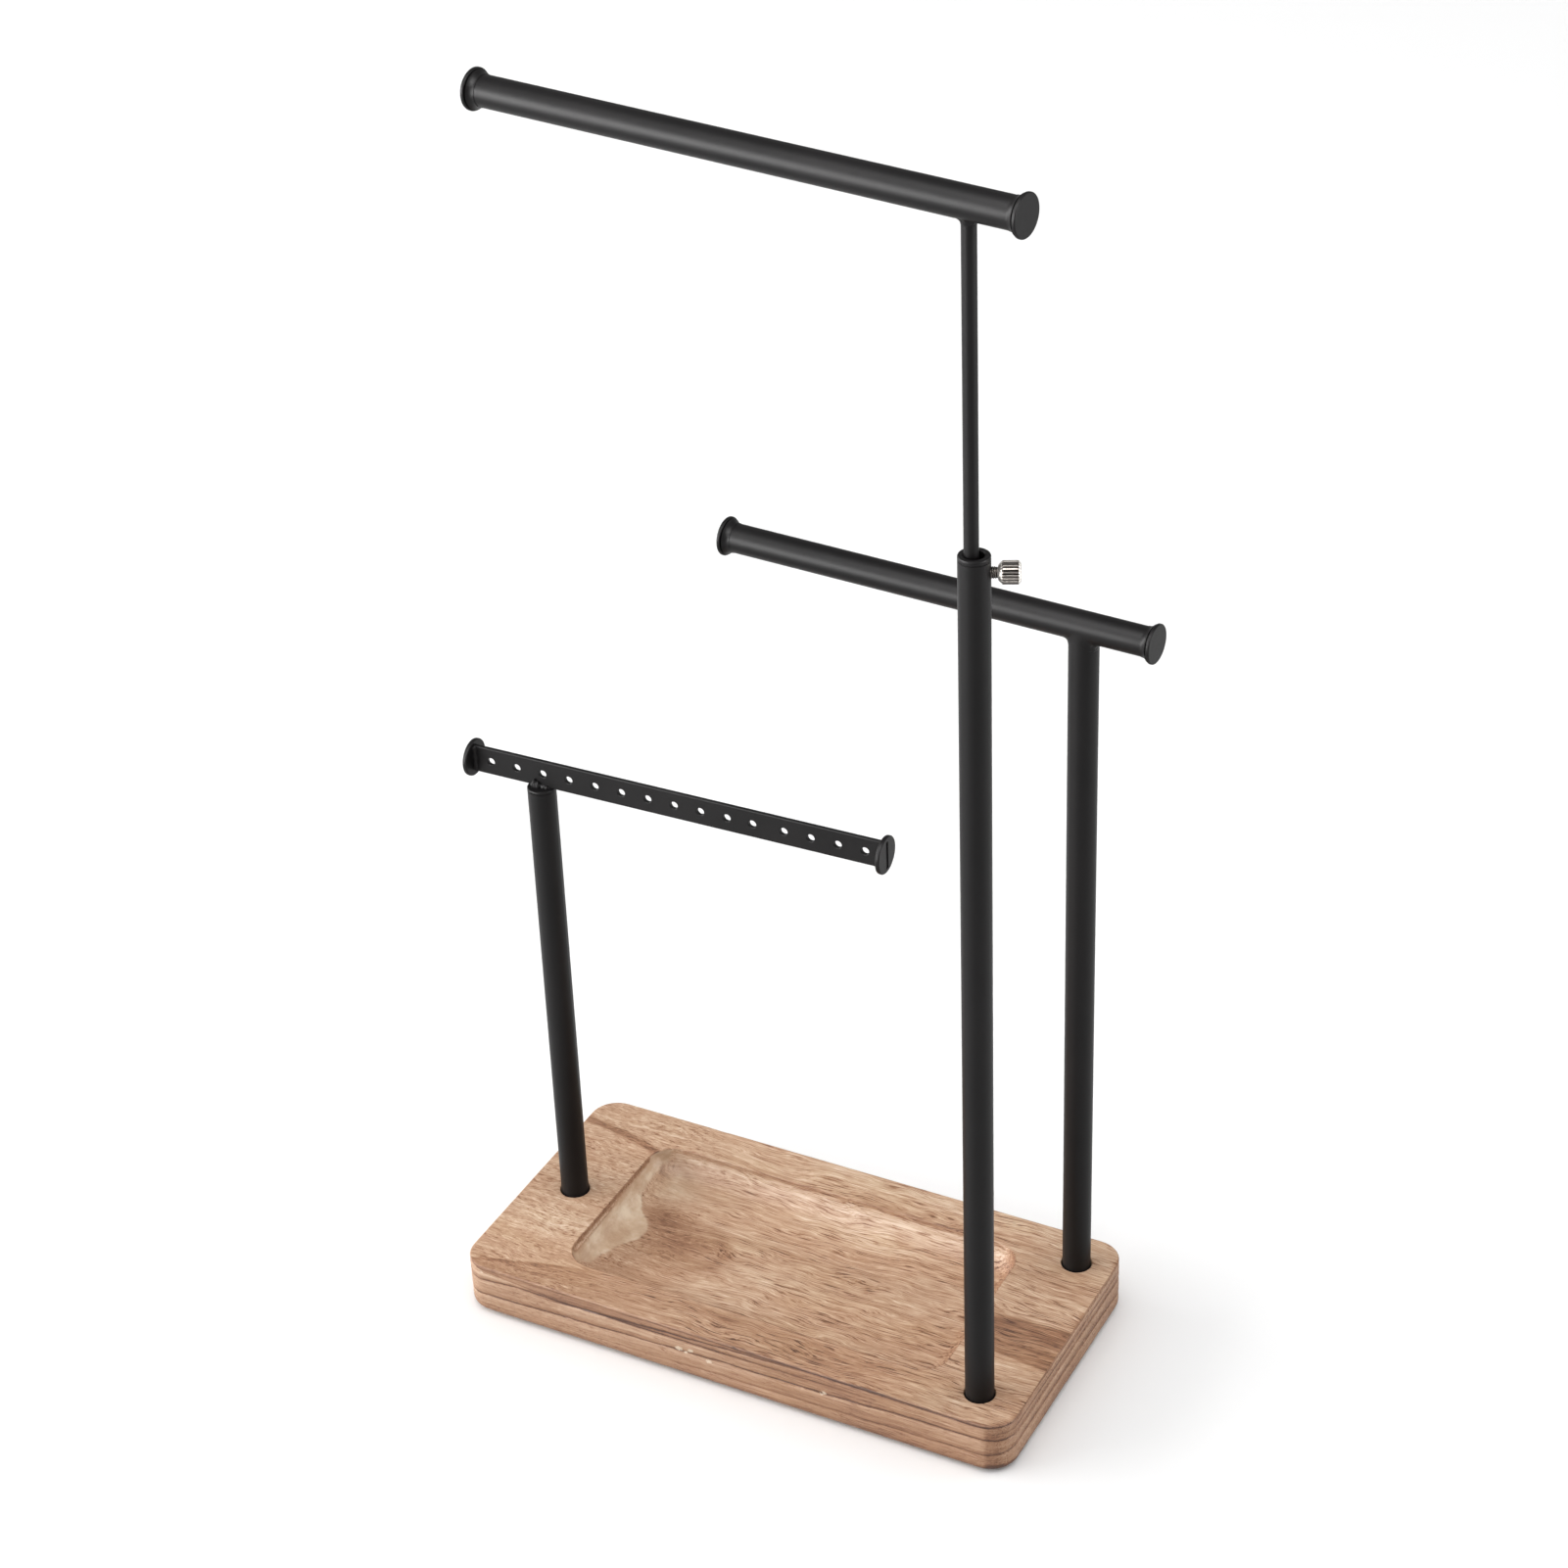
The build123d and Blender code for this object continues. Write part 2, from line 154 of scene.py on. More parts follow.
# ------------------------------------------------------------------ helpers: nodes
class Mat:
    """A small builder for node materials."""

    def __init__(self, name):
        self.m = bpy.data.materials.new(name)
        self.m.use_nodes = True
        self.t = self.m.node_tree
        self.t.nodes.clear()
        self.out = self.t.nodes.new("ShaderNodeOutputMaterial")
        self.bsdf = self.t.nodes.new("ShaderNodeBsdfPrincipled")
        self.t.links.new(self.bsdf.outputs[0], self.out.inputs[0])

    def put(self, sock, value):
        if value is None:
            return
        if isinstance(value, bpy.types.NodeSocket):
            self.t.links.new(value, sock)
        else:
            sock.default_value = value

    def set(self, **kw):
        for k, v in kw.items():
            self.put(self.bsdf.inputs[k.replace("_", " ")], v)

    def coord(self):
        """Position in the row frame, in millimetres."""
        tc = self.t.nodes.new("ShaderNodeTexCoord")
        return self.scale(tc.outputs["Object"], (1000, 1000, 1000))

    def scale(self, vec, s):
        n = self.t.nodes.new("ShaderNodeVectorMath")
        n.operation = "MULTIPLY"
        self.put(n.inputs[0], vec)
        n.inputs[1].default_value = s
        return n.outputs[0]

    def vadd(self, a, b):
        n = self.t.nodes.new("ShaderNodeVectorMath")
        n.operation = "ADD"
        self.put(n.inputs[0], a)
        self.put(n.inputs[1], b)
        return n.outputs[0]

    def vdist(self, a, b):
        n = self.t.nodes.new("ShaderNodeVectorMath")
        n.operation = "DISTANCE"
        self.put(n.inputs[0], a)
        self.put(n.inputs[1], b)
        return n.outputs["Value"]

    def comb(self, x, y, z):
        n = self.t.nodes.new("ShaderNodeCombineXYZ")
        for i, v in enumerate((x, y, z)):
            self.put(n.inputs[i], v)
        return n.outputs[0]

    def sep(self, vec):
        n = self.t.nodes.new("ShaderNodeSeparateXYZ")
        self.put(n.inputs[0], vec)
        return n.outputs

    def attr(self, name):
        n = self.t.nodes.new("ShaderNodeAttribute")
        n.attribute_type = "GEOMETRY"
        n.attribute_name = name
        return self.sep(n.outputs["Vector"])

    def math(self, op, a, b=None, c=None, clamp=False):
        n = self.t.nodes.new("ShaderNodeMath")
        n.operation = op
        n.use_clamp = clamp
        for i, v in enumerate((a, b, c)):
            self.put(n.inputs[i], v)
        return n.outputs[0]

    def mul(self, a, b, clamp=False):
        return self.math("MULTIPLY", a, b, clamp=clamp)

    def add(self, a, b, clamp=False):
        return self.math("ADD", a, b, clamp=clamp)

    def sub(self, a, b, clamp=False):
        return self.math("SUBTRACT", a, b, clamp=clamp)

    def step(self, x, lo, hi, to=(0.0, 1.0), smooth=True):
        n = self.t.nodes.new("ShaderNodeMapRange")
        n.interpolation_type = "SMOOTHSTEP" if smooth else "LINEAR"
        n.clamp = True
        self.put(n.inputs["Value"], x)
        for k, v in (("From Min", lo), ("From Max", hi), ("To Min", to[0]), ("To Max", to[1])):
            self.put(n.inputs[k], v)
        return n.outputs[0]

    def noise(self, vec, scale=1.0, detail=2.0, rough=0.5, dist=0.0, w=None, kind="FBM"):
        n = self.t.nodes.new("ShaderNodeTexNoise")
        n.noise_dimensions = "3D" if w is None else "4D"
        n.noise_type = kind
        self.put(n.inputs["Vector"], vec)
        if w is not None:
            self.put(n.inputs["W"], w)
        n.inputs["Scale"].default_value = scale
        n.inputs["Detail"].default_value = detail
        n.inputs["Roughness"].default_value = rough
        n.inputs["Distortion"].default_value = dist
        return n.outputs[0]

    def voronoi(self, vec, scale=1.0, feature="F1", rand=1.0):
        n = self.t.nodes.new("ShaderNodeTexVoronoi")
        n.feature = feature
        self.put(n.inputs["Vector"], vec)
        n.inputs["Scale"].default_value = scale
        n.inputs["Randomness"].default_value = rand
        return n.outputs["Distance"]

    def ramp(self, fac, stops, interp="LINEAR"):
        n = self.t.nodes.new("ShaderNodeValToRGB")
        n.color_ramp.interpolation = interp
        e = n.color_ramp.elements
        while len(e) < len(stops):
            e.new(0.5)
        for el, (p, c) in zip(e, stops):
            el.position = p
            el.color = (c, c, c, 1) if isinstance(c, (int, float)) else (*c, 1)
        self.put(n.inputs[0], fac)
        return n.outputs[0]

    def mix(self, fac, a, b, blend="MIX"):
        n = self.t.nodes.new("ShaderNodeMix")
        n.data_type = "RGBA"
        n.blend_type = blend
        n.clamp_factor = True
        self.put(n.inputs[0], fac)
        for s, v in ((n.inputs[6], a), (n.inputs[7], b)):
            self.put(s, (*v, 1) if isinstance(v, tuple) and len(v) == 3 else v)
        return n.outputs[2]

    def bump(self, height, distance, strength=1.0, normal=None):
        n = self.t.nodes.new("ShaderNodeBump")
        n.inputs["Strength"].default_value = strength
        n.inputs["Distance"].default_value = distance
        self.put(n.inputs["Height"], height)
        if normal is not None:
            self.put(n.inputs["Normal"], normal)
        return n.outputs[0]


def srgb(r, g, b):
    def f(c):
        c = c / 255
        return c / 12.92 if c <= 0.04045 else ((c + 0.055) / 1.055) ** 2.4
    return (f(r), f(g), f(b))


# ------------------------------------------------------------------ the wooden base
WOOD_RAMP = (srgb(222, 202, 181), srgb(206, 179, 153), srgb(187, 154, 127), srgb(165, 127, 98), srgb(138, 98, 72),
             srgb(108, 73, 52), srgb(82, 54, 40))
WOOD_PALE = (srgb(182, 152, 124), srgb(200, 174, 147), srgb(220, 202, 178))
PAD_T = 1.0
BL, BW, BT, BR = 105.0, 52.0, 20.0, 10.0
Z0, Z1 = PAD_T, PAD_T + BT
ZF = Z1 - 9.0
COVE = 8.4
POSTS = ((-88.0, 0.0), (89.0, -37.5), (91.6, 37.5))
NX, NY, NC = 156, 68, 10


def rrect(a, b, r):
    """One closed loop round a rounded rectangle of half sizes a, b."""
    pts = []
    cx, cy = a - r, b - r
    for i in range(NX):
        pts.append((-cx + 2 * cx * i / NX, -b))
    for i in range(NC):
        t = -math.pi / 2 + math.pi / 2 * i / NC
        pts.append((cx + r * math.cos(t), -cy + r * math.sin(t)))
    for i in range(NY):
        pts.append((a, -cy + 2 * cy * i / NY))
    for i in range(NC):
        t = math.pi / 2 * i / NC
        pts.append((cx + r * math.cos(t), cy + r * math.sin(t)))
    for i in range(NX):
        pts.append((cx - 2 * cx * i / NX, b))
    for i in range(NC):
        t = math.pi / 2 + math.pi / 2 * i / NC
        pts.append((-cx + r * math.cos(t), cy + r * math.sin(t)))
    for i in range(NY):
        pts.append((-a, cy - 2 * cy * i / NY))
    for i in range(NC):
        t = math.pi + math.pi / 2 * i / NC
        pts.append((-cx + r * math.cos(t), -cy + r * math.sin(t)))
    return np.array(pts)


def girth(x, y):
    """Way round the board in mm: 0 at the front-left corner, front first, then right, back, left."""
    cx, cy = BL - BR, BW - BR
    t = np.degrees(np.arctan2(np.abs(y) - cy, np.abs(x) - cx))
    k = np.clip(t / 90, 0, 1) * 20
    corner = (np.abs(x) > cx) & (np.abs(y) > cy)
    s = np.where(y < 0, x + BL, 314 + (BL - x))
    side = (np.abs(x) - BL) > (np.abs(y) - BW)
    s = np.where(side & (x > 0), 210 + y + BW, s)
    s = np.where(side & (x < 0), 524 + BW - y, s)
    s = np.where(corner & (x > 0) & (y < 0), 220 - k, s)
    s = np.where(corner & (x > 0) & (y > 0), 304 + k, s)
    s = np.where(corner & (x < 0) & (y > 0), 534 - k, s)
    s = np.where(corner & (x < 0) & (y < 0), (618 + k) % 628, s)
    return s


# the hard layer lines on the sides: way round, depth below the top, strength of the line
LINES = (
    ((0, 1.0, 0.15), (60, 0.9, 0.25), (120, 0.9, 0.55), (150, 1.0, 1.0), (205, 1.1, 1.0), (314, 1.0, 0.95), (330, 1.0, 0.5),
     (524, 1.0, 0.35), (628, 1.0, 0.2)),
    ((0, 6.4, 0.0), (28, 6.0, 0.15), (41, 5.4, 0.8), (80, 3.5, 0.9), (114, 1.9, 0.9), (132, 1.3, 0.2), (140, 1.1, 0.0),
     (628, 6.4, 0.0)),
    ((0, 6.3, 0.75), (8, 6.0, 0.8), (25, 4.7, 0.85), (55, 5.0, 0.9), (100, 4.6, 0.8), (135, 4.2, 0.55), (160, 3.9, 0.2),
     (200, 3.6, 0.1), (225, 4.0, 0.55), (314, 4.4, 0.45), (420, 5.4, 0.5), (524, 6.0, 0.6), (628, 6.3, 0.7)),
    ((0, 12.8, 0.85), (10, 12.5, 0.9), (45, 11.0, 0.95), (95, 9.0, 1.0), (130, 8.3, 1.0), (160, 7.4, 1.0), (178, 6.5, 0.95),
     (203, 6.5, 1.0), (225, 7.1, 1.0), (314, 7.5, 1.0), (400, 8.6, 0.85), (524, 11.0, 0.85), (628, 12.8, 0.8)),
    ((0, 17.0, 0.25), (60, 15.8, 0.15), (120, 14.4, 0.25), (160, 13.8, 0.4), (200, 13.0, 0.5), (225, 11.4, 0.95),
     (290, 12.9, 0.95), (314, 14.4, 0.8), (420, 15.2, 0.5), (524, 16.2, 0.5), (628, 17.0, 0.3)),
)


def line_field(s, d, k):
    """Depth below line k of the sides, and how strong that line is there."""
    t = np.array(LINES[k])
    wob = 0.28 * fbm(np.stack([s / 21, s * 0 + 7 * k, s * 0], 1), 60 + k, 3)
    wob += 0.10 * fbm(np.stack([s / 5, s * 0 + 7 * k, s * 0], 1), 70 + k, 2)
    return d - np.interp(s, t[:, 0], t[:, 1]) - wob, np.interp(s, t[:, 0], t[:, 2])


def relief(s, d):
    """Brushed sides: the wood worn back at the layer lines and a little under them, in mm."""
    h = np.zeros(len(s))
    right = sstep(s, 196, 222) * (1 - sstep(s, 312, 326))
    for k in range(len(LINES)):
        w, a = line_field(s, d, k)
        deep = (0.18 + 0.26 * right) * a
        h -= deep * np.exp(-(w / 0.38) ** 2)
        h -= 0.45 * deep * np.where(w > 0, np.exp(-w / 1.1), 0.0)
    return h


def build_board():
    loops = []

    def loop(a, b, r, z):
        xy = rrect(a, b, max(r, 0.03))
        loops.append(np.column_stack([xy, np.full(len(xy), z)]))

    fa, fb, fr = 72.5 - COVE, 36.0 - COVE, 10.0 - COVE
    for t in np.linspace(1, 0, 23):
        d = 27.1 * t
        loop(fa - d, fb - d, fr - d * 0.06 if d < 20 else 0.3, ZF)
    for t in np.linspace(0, 90, 15)[1:]:
        o = COVE * math.sin(math.radians(t))
        loop(fa + o, fb + o, fr + o, ZF + COVE * (1 - math.cos(math.radians(t))))
    loop(72.5, 36.0, 10.0, Z1 - 0.30)
    loop(72.56, 36.06, 10.06, Z1 - 0.12)
    loop(72.68, 36.18, 10.18, Z1 - 0.03)
    loop(72.85, 36.35, 10.35, Z1)
    e = 0.6
    for t in np.linspace(0, 1, 23)[1:]:
        a = 72.85 + (BL - e - 72.85) * t
        b = 36.35 + (BW - e - 36.35) * t
        loop(a, b, 10.35 + (BR - e - 10.35) * t, Z1)
    for t in (18, 36, 54, 72, 90):
        o = e * (math.sin(math.radians(t)) - 1)
        loop(BL + o, BW + o, BR + o, Z1 - e * (1 - math.cos(math.radians(t))))
    for z in np.linspace(Z1 - e, Z0 + 2.5, 62)[1:]:
        loop(BL, BW, BR, z)
    for t in np.linspace(0, 90, 9)[1:]:
        o = -2.5 * (1 - math.cos(math.radians(t)))
        loop(BL + o, BW + o, BR + o, Z0 + 2.5 * (1 - math.sin(math.radians(t))))
    for t in np.linspace(0, 1, 9)[1:]:
        d = 49.0 * t
        loop(102.5 - d, 49.5 - d, max(7.5 - d, 0.3), Z0)

    n = len(loops[0])
    pts = np.concatenate(loops)
    # the sides get the brushed relief, along the outward direction in plan
    side = sstep(pts[:, 2], Z0 + 0.3, Z0 + 2.0) * (1 - sstep(pts[:, 2], Z1 - 0.62, Z1 - 0.15))
    cx = np.clip(pts[:, 0], -(BL - BR), BL - BR)
    cy = np.clip(pts[:, 1], -(BW - BR), BW - BR)
    nx, ny = pts[:, 0] - cx, pts[:, 1] - cy
    ln = np.hypot(nx, ny)
    on_side = ln > BR - 2.6
    ln[ln == 0] = 1
    s = girth(pts[:, 0], pts[:, 1])
    fine = 0.07 * fbm(np.stack([s / 8, pts[:, 2] / 1.3, s * 0], 1), 31, 3) - 0.05
    h = (relief(s, Z1 - pts[:, 2]) + fine) * side * on_side
    h = np.minimum(h, 0.0)
    pts[:, 0] += nx / ln * h
    pts[:, 1] += ny / ln * h
    # the top face is very slightly uneven from sanding, and its outer edge is worn here and there
    top = (np.abs(pts[:, 2] - Z1) < 1e-6)
    pts[top, 2] -= 0.02 * (1 + fbm(np.stack([pts[top, 0] / 22, pts[top, 1] / 9, pts[top, 0] * 0], 1), 41, 2))
    edge = (pts[:, 2] > Z1 - 0.7) & (ln > BR - 1.0)
    wear = 0.16 * sstep(fbm(np.stack([pts[:, 0] / 11, pts[:, 1] / 8, pts[:, 2] * 0], 1), 51, 3), 0.05, 0.75)
    pts[edge, 2] -= wear[edge]
    faces = grid_faces(n, len(loops))

    def cap(base):
        """Closes the innermost thin loop with quads across it."""
        out = []
        far = base + NX + NC + NY + NC
        for i in range(NX):
            out.append((base + i, base + i + 1, far + NX - i - 1, far + NX - i))
        out.append(tuple(base + NX + k for k in range(0, NC + NY + NC + 1)))
        out.append(tuple(far + NX + k for k in range(0, NC + NY + NC)) + (base,))
        return out

    faces += cap(0) + cap((len(loops) - 1) * n)
    ob = new_object("base_board_wood", pts, faces, True, 40)

    # sockets for the posts, clearance holes and the recesses below
    prof = [(6.2, -2), (6.2, 7.0), (2.7, 7.0), (2.7, 13.0), (5.3, 13.0),
            (5.3, Z1 - 0.28), (5.57, Z1 + 0.02), (5.57, Z1 + 2)]
    cutters = []
    for k, (px, py) in enumerate(POSTS):
        ns = 72
        vs = []
        for r, z in prof:
            for i in range(ns):
                t = 2 * math.pi * i / ns
                vs.append((px + r * math.cos(t), py + r * math.sin(t), z))
        fs = grid_faces(ns, len(prof))
        fs.append(tuple(range(ns))[::-1])
        fs.append(tuple((len(prof) - 1) * ns + i for i in range(ns)))
        cutters.append(new_object(f"cutter_{k}", vs, fs, False))
    for c in cutters:
        md = ob.modifiers.new("cut", "BOOLEAN")
        md.operation = "DIFFERENCE"
        md.solver = "EXACT"
        md.object = c
    bpy.context.view_layer.update()
    dg = bpy.context.evaluated_depsgraph_get()
    me = bpy.data.meshes.new_from_object(ob.evaluated_get(dg))
    ob.modifiers.clear()
    ob.data = me
    for c in cutters:
        bpy.data.objects.remove(c)
    tidy(ob, True, 38)

    # fields that the wood's material reads, smooth enough to be carried by the vertices
    p = points_mm(ob)
    x, y, z = p.T
    d = Z1 - z
    s = girth(x, y)
    cxx = np.clip(x, -(BL - BR), BL - BR)
    cyy = np.clip(y, -(BW - BR), BW - BR)
    out = np.hypot(x - cxx, y - cyy)
    side = sstep(out, BR - 0.9, BR - 0.45) * (d > 0.05) + 0.0
    side = np.where((out > BR - 2.7) & (d > 14), 1.0, side)
    tray = (np.abs(x) < 72.4) & (np.abs(y) < 35.9) & (d > 0.2) & (d < 12)

    def blob(px, py, ax, ay, deg=0.0, power=2.0):
        c, sn = math.cos(math.radians(deg)), math.sin(math.radians(deg))
        u = ((x - px) * c + (y - py) * sn) / ax
        v = (-(x - px) * sn + (y - py) * c) / ay
        return np.exp(-(u * u + v * v) ** (power / 2))

    front_y = np.interp(x, [-110, -101, -93.6, -79, -63, -46, 0, 110],
                        [-51.5, -48.5, -45.7, -41.6, -37.5, -35.7, -35.0, -34.0])
    strip = (front_y - y) - 3.0 * d - 8.0 * tray          # browner front strip of the top, positive inside
    patch = np.minimum(np.minimum(2.6 + 0.045 * (x - 92) - y, y + 18.0 + 0.10 * (x - 92)), (x - 74) * 0.6) - 2.2 * d
    pale_x = np.interp(y, [-31, -27.3, -25.9, -19.5, -14.4, -9.6, -6, 0.1, 4.8, 8.8, 13.7, 18.7, 24.9, 30, 34, 36],
                       [-70.5, -69.6, -67.5, -66.2, -64.1, -61.8, -58.9, -58.7, -61.9, -65.9, -68.5, -69.4, -70.0, -69.6, -67.4, -66])
    pale = np.where(tray, pale_x - x, -5.0)                # pale end of the tray, its end-grain colour with a painted sheen over it, positive inside
    band_y = np.interp(x, [-110, -103, -89, -77, -69, -60, -40], [39.5, 37.6, 35.5, 32.7, 29.2, 27.0, 24.0])
    band = 2.2 - np.abs(y - band_y) - 0.8 * d * (x < -70) - sstep(x, -72, -52) * 6
    band = np.where(d > 14, -8.0, band)
    lines = [line_field(s, d, k) for k in range(5)]

    # soft tone over the whole board, darker positive: wood tones, and on the tray's walls and the board's faces also
    # painted light and shade
    zone = np.zeros(len(x))
    on_top = ~tray & (side < 0.5) & (d < 1.2)
    zone += tray * (0.13 * blob(-46, -2, 22, 15, -15, 4) + 0.25 * blob(-55, 7.5, 10.5, 5.5, -22) + 0.17 * blob(-45, -3, 9, 6))
    ell = np.sqrt(((x + 46) / 21.0) ** 2 + ((y + 3) / 14.0) ** 2)
    zone += tray * 0.13 * np.exp(-((ell - 0.93) / 0.13) ** 2) * sstep(x, -44, -32)
    zone += tray * 0.10 * blob(-52, -22, 20, 7)
    # painted light: the back of the tray's floor and its lower back cove made lighter, as if more light falls there
    zone -= tray * 0.13 * blob(2, 27, 46, 7.5, 0, 3)
    zone -= tray * 0.08 * blob(10, 29, 20, 4)
    zone += tray * 0.055 * (blob(24, 3, 17, 6, -8) + blob(-8, 9, 12, 3, -5) + 0.8 * blob(40, -14, 22, 5, -4))
    # painted shade: a soft dark cloud in the tray's back-left corner
    zone += tray * 0.07 * blob(-66, 30, 8, 6)
    # painted shade: the tray's right wall darkened, where the lamps make it bright
    zone += tray * 0.20 * sstep(x, 64.5, 70)
    # painted light: the upper back wall of the tray lightened, where it faces forward and gets less light
    zone -= np.where(tray & (y > 27.0), 0.22 * sstep(y, 33.6, 35.6), 0.0)
    zone += np.where(tray & (y < -27.0), 0.05 * sstep(-y, 27.5, 33), 0.0)
    # painted light: the top of the tray's steep left wall lightened, where it faces away from the key and falls in
    # shade
    zone -= np.where(tray & (x < -70.5), 0.20 * sstep(-x, 71.5, 72.2), 0.0)
    zone += on_top * (-0.085 * blob(-90, -20, 18, 22) - 0.03 * blob(-80, 18, 10, 10) - 0.13 * blob(-10, 47, 92, 7)
                      + 0.06 * blob(93, 25, 14, 16) + 0.04 * blob(70, -46, 50, 6) + 0.05 * blob(-75, 46, 26, 4) + 0.05 * blob(40, 40, 40, 3))
    zone += on_top * (-0.12 * blob(86, -23, 10, 2.2, -3) - 0.06 * blob(84, -46, 18, 4) + 0.05 * blob(55, -42, 26, 3))
    on_front = sstep(side, 0.2, 0.9)
    # painted shade: the front face made darker than the top, as a side light would leave it
    zone += on_front * 0.115 * (s < 210)
    # darker towards the bottom: the band along the lower rounded edge is painted shade
    low = sstep(d, 16.4, 18.0)
    zone += on_front * (0.16 * low + 0.05 * sstep(d, 9, 15) * sstep(s, 120, 190) * (s < 210))
    # painted shade: the right face darkened below its top 1.2 to 2 mm, which stays lighter as a painted highlight along
    # the crease
    zone += on_front * (0.16 * sstep(s, 203.2, 204.0) * (1 - sstep(s, 312, 330)) * sstep(d, 1.2, 2.0))
    # painted shade: more of it at the bottom of the front-right corner
    zone += on_front * (0.20 * low * sstep(s, 195, 206) * (1 - sstep(s, 216, 240)))
    zone -= on_front * 0.12 * (1 - sstep(s, 22, 42)) * sstep(d, 0.8, 1.8) * (1 - sstep(d, 4.2, 5.6))
    zone -= on_front * 0.09 * sstep(s, 148, 178) * (1 - sstep(s, 203, 204)) * sstep(d, 2.6, 4.0) * (1 - sstep(d, 5.4, 6.4))
    zone += on_front * 0.08 * (1 - sstep(d, 1.2, 3.6)) * sstep(s, 100, 150) * (1 - sstep(s, 300, 330))
    zone -= on_front * 0.05 * sstep(s, 30, 60) * (1 - sstep(s, 110, 160)) * sstep(d, 6, 8) * (1 - sstep(d, 9, 11))
    add_vec(ob, "wood_a", [zone, strip, patch])
    add_vec(ob, "wood_b", [pale, band, side])
    add_vec(ob, "wood_c", [lines[0][0], lines[1][0], lines[2][0]])
    add_vec(ob, "wood_d", [lines[0][1], lines[1][1], lines[2][1]])
    add_vec(ob, "wood_e", [lines[3][0], lines[3][1], lines[4][0]])
    add_vec(ob, "wood_f", [lines[4][1], tray * 1.0, s])
    polish = tray * (0.75 * blob(-61, 26, 9.5, 8.0, -20, 3))  # smooth corner of the tray beside the pale end
    add_vec(ob, "wood_g", [polish, polish, polish])
    return ob


def wood_material():
    m = Mat("wood")
    p = m.coord()
    px, py, pz = m.sep(p)
    zone, strip, patch = m.attr("wood_a")
    pale, band, side = m.attr("wood_b")
    w0, w1, w2 = m.attr("wood_c")
    a0, a1, a2 = m.attr("wood_d")
    w3, a3, w4 = m.attr("wood_e")
    a4, tray, around = m.attr("wood_f")
    polish = m.attr("wood_g")[0]
    depth = m.sub(Z1, pz)

    # gentle wander of the fibres, and an eye in the tray's floor that they flow round
    wander = m.noise(m.scale(p, (0.020, 0.045, 0.045)), 1.0, 2.0, 0.5)
    wander2 = m.noise(m.scale(p, (0.075, 0.20, 0.20)), 1.0, 1.0, 0.5)
    shift = m.add(m.mul(m.sub(wander, 0.5), 11.0), m.mul(m.sub(wander2, 0.5), 2.6))
    for ex, ey, ax, ay, k in ((4.7, 17.2, 6.0, 3.2, 0.75), (13.5, 17.6, 5.0, 2.8, 0.7), (22.0, 6.0, 9.0, 4.5, 0.55),
                              (-34.0, -3.0, 10.0, 8.0, 0.55)):
        r = m.vdist(m.comb(m.math("DIVIDE", px, ax), m.math("DIVIDE", py, ay), 0.0), (ex / ax, ey / ay, 0.0))
        pull = m.mul(m.step(r, 1.55, 0.15), m.mul(m.sub(py, ey), -k))
        shift = m.add(shift, m.mul(pull, tray))
    pf = m.vadd(p, m.comb(0.0, shift, m.mul(shift, 0.35)))

    # pores and fibres: short dashes towards the left end, longer ones towards the right
    mix_lr = m.step(m.add(px, m.mul(m.sub(wander, 0.5), 90.0)), -72.0, -30.0)
    long_ = m.noise(m.scale(pf, (0.10, 2.0, 2.0)), 1.0, 3.0, 0.60)
    short = m.noise(m.scale(pf, (0.40, 1.6, 1.6)), 1.0, 3.0, 0.60, dist=0.30)
    body = m.math("ADD", m.mul(long_, mix_lr), m.mul(short, m.sub(1.0, mix_lr)))
    dash = m.step(body, 0.515, 0.655)
    light = m.step(body, 0.475, 0.335)
    hair = m.noise(m.scale(pf, (0.16, 3.0, 3.0)), 1.0, 2.0, 0.6)
    hair_d = m.step(hair, 0.53, 0.68)
    hair_l = m.step(hair, 0.46, 0.32)
    bunch = m.step(m.noise(m.scale(pf, (0.030, 0.16, 0.16)), 1.0, 2.0, 0.6), 0.36, 0.62)
    streak = m.sub(m.noise(m.scale(pf, (0.012, 0.55, 0.55)), 1.0, 3.0, 0.6), 0.5)
    tone = m.sub(m.noise(m.scale(pf, (0.014, 0.055, 0.06)), 1.0, 2.0, 0.55), 0.5)
    mott = m.sub(m.noise(m.scale(p, (0.11, 0.24, 0.24)), 1.0, 3.0, 0.6), 0.5)

    grain = m.mul(m.mul(dash, m.add(m.mul(bunch, 0.30), 0.17)), m.step(px, -60.0, 10.0, (0.75, 1.15)))
    grain = m.sub(grain, m.mul(light, 0.15))
    grain = m.add(grain, m.mul(hair_d, 0.15))
    grain = m.sub(grain, m.mul(hair_l, 0.12))
    grain = m.add(grain, m.mul(streak, 0.56))
    grain = m.mul(grain, m.sub(1.0, m.mul(side, 0.55)))
    dark = m.add(m.add(zone, 0.355), grain)
    dark = m.add(dark, m.mul(tone, 0.26))
    dark = m.add(dark, m.mul(mott, 0.12))

    # browner zones, with edges broken up along the grain
    rag = m.mul(m.sub(m.noise(m.scale(pf, (0.10, 0.8, 0.8)), 1.0, 3.0, 0.62), 0.5), 3.0)
    strip_m = m.step(m.add(strip, m.mul(rag, m.step(px, -75.0, -50.0, (0.25, 1.0)))), -0.25, 0.75)
    strip_w = m.mul(strip_m, m.add(m.step(px, 20.0, 95.0, (0.115, 0.05)), m.step(px, -80.0, -35.0, (0.05, 0.0))))
    rim_l = m.mul(m.step(px, -50.0, -80.0), m.step(m.math("ABSOLUTE", m.sub(strip, 0.7)), 1.5, 0.1))
    patch_m = m.step(m.add(patch, m.mul(rag, 0.40)), -0.2, 1.0)
    band_m = m.step(m.add(band, m.mul(rag, 0.55)), -0.5, 1.6)
    dark = m.add(dark, strip_w)
    dark = m.add(dark, m.mul(rim_l, 0.15))
    dark = m.add(dark, m.mul(m.mul(patch_m, m.sub(1.0, side)), 0.32))
    dark = m.add(dark, m.mul(band_m, 0.35))

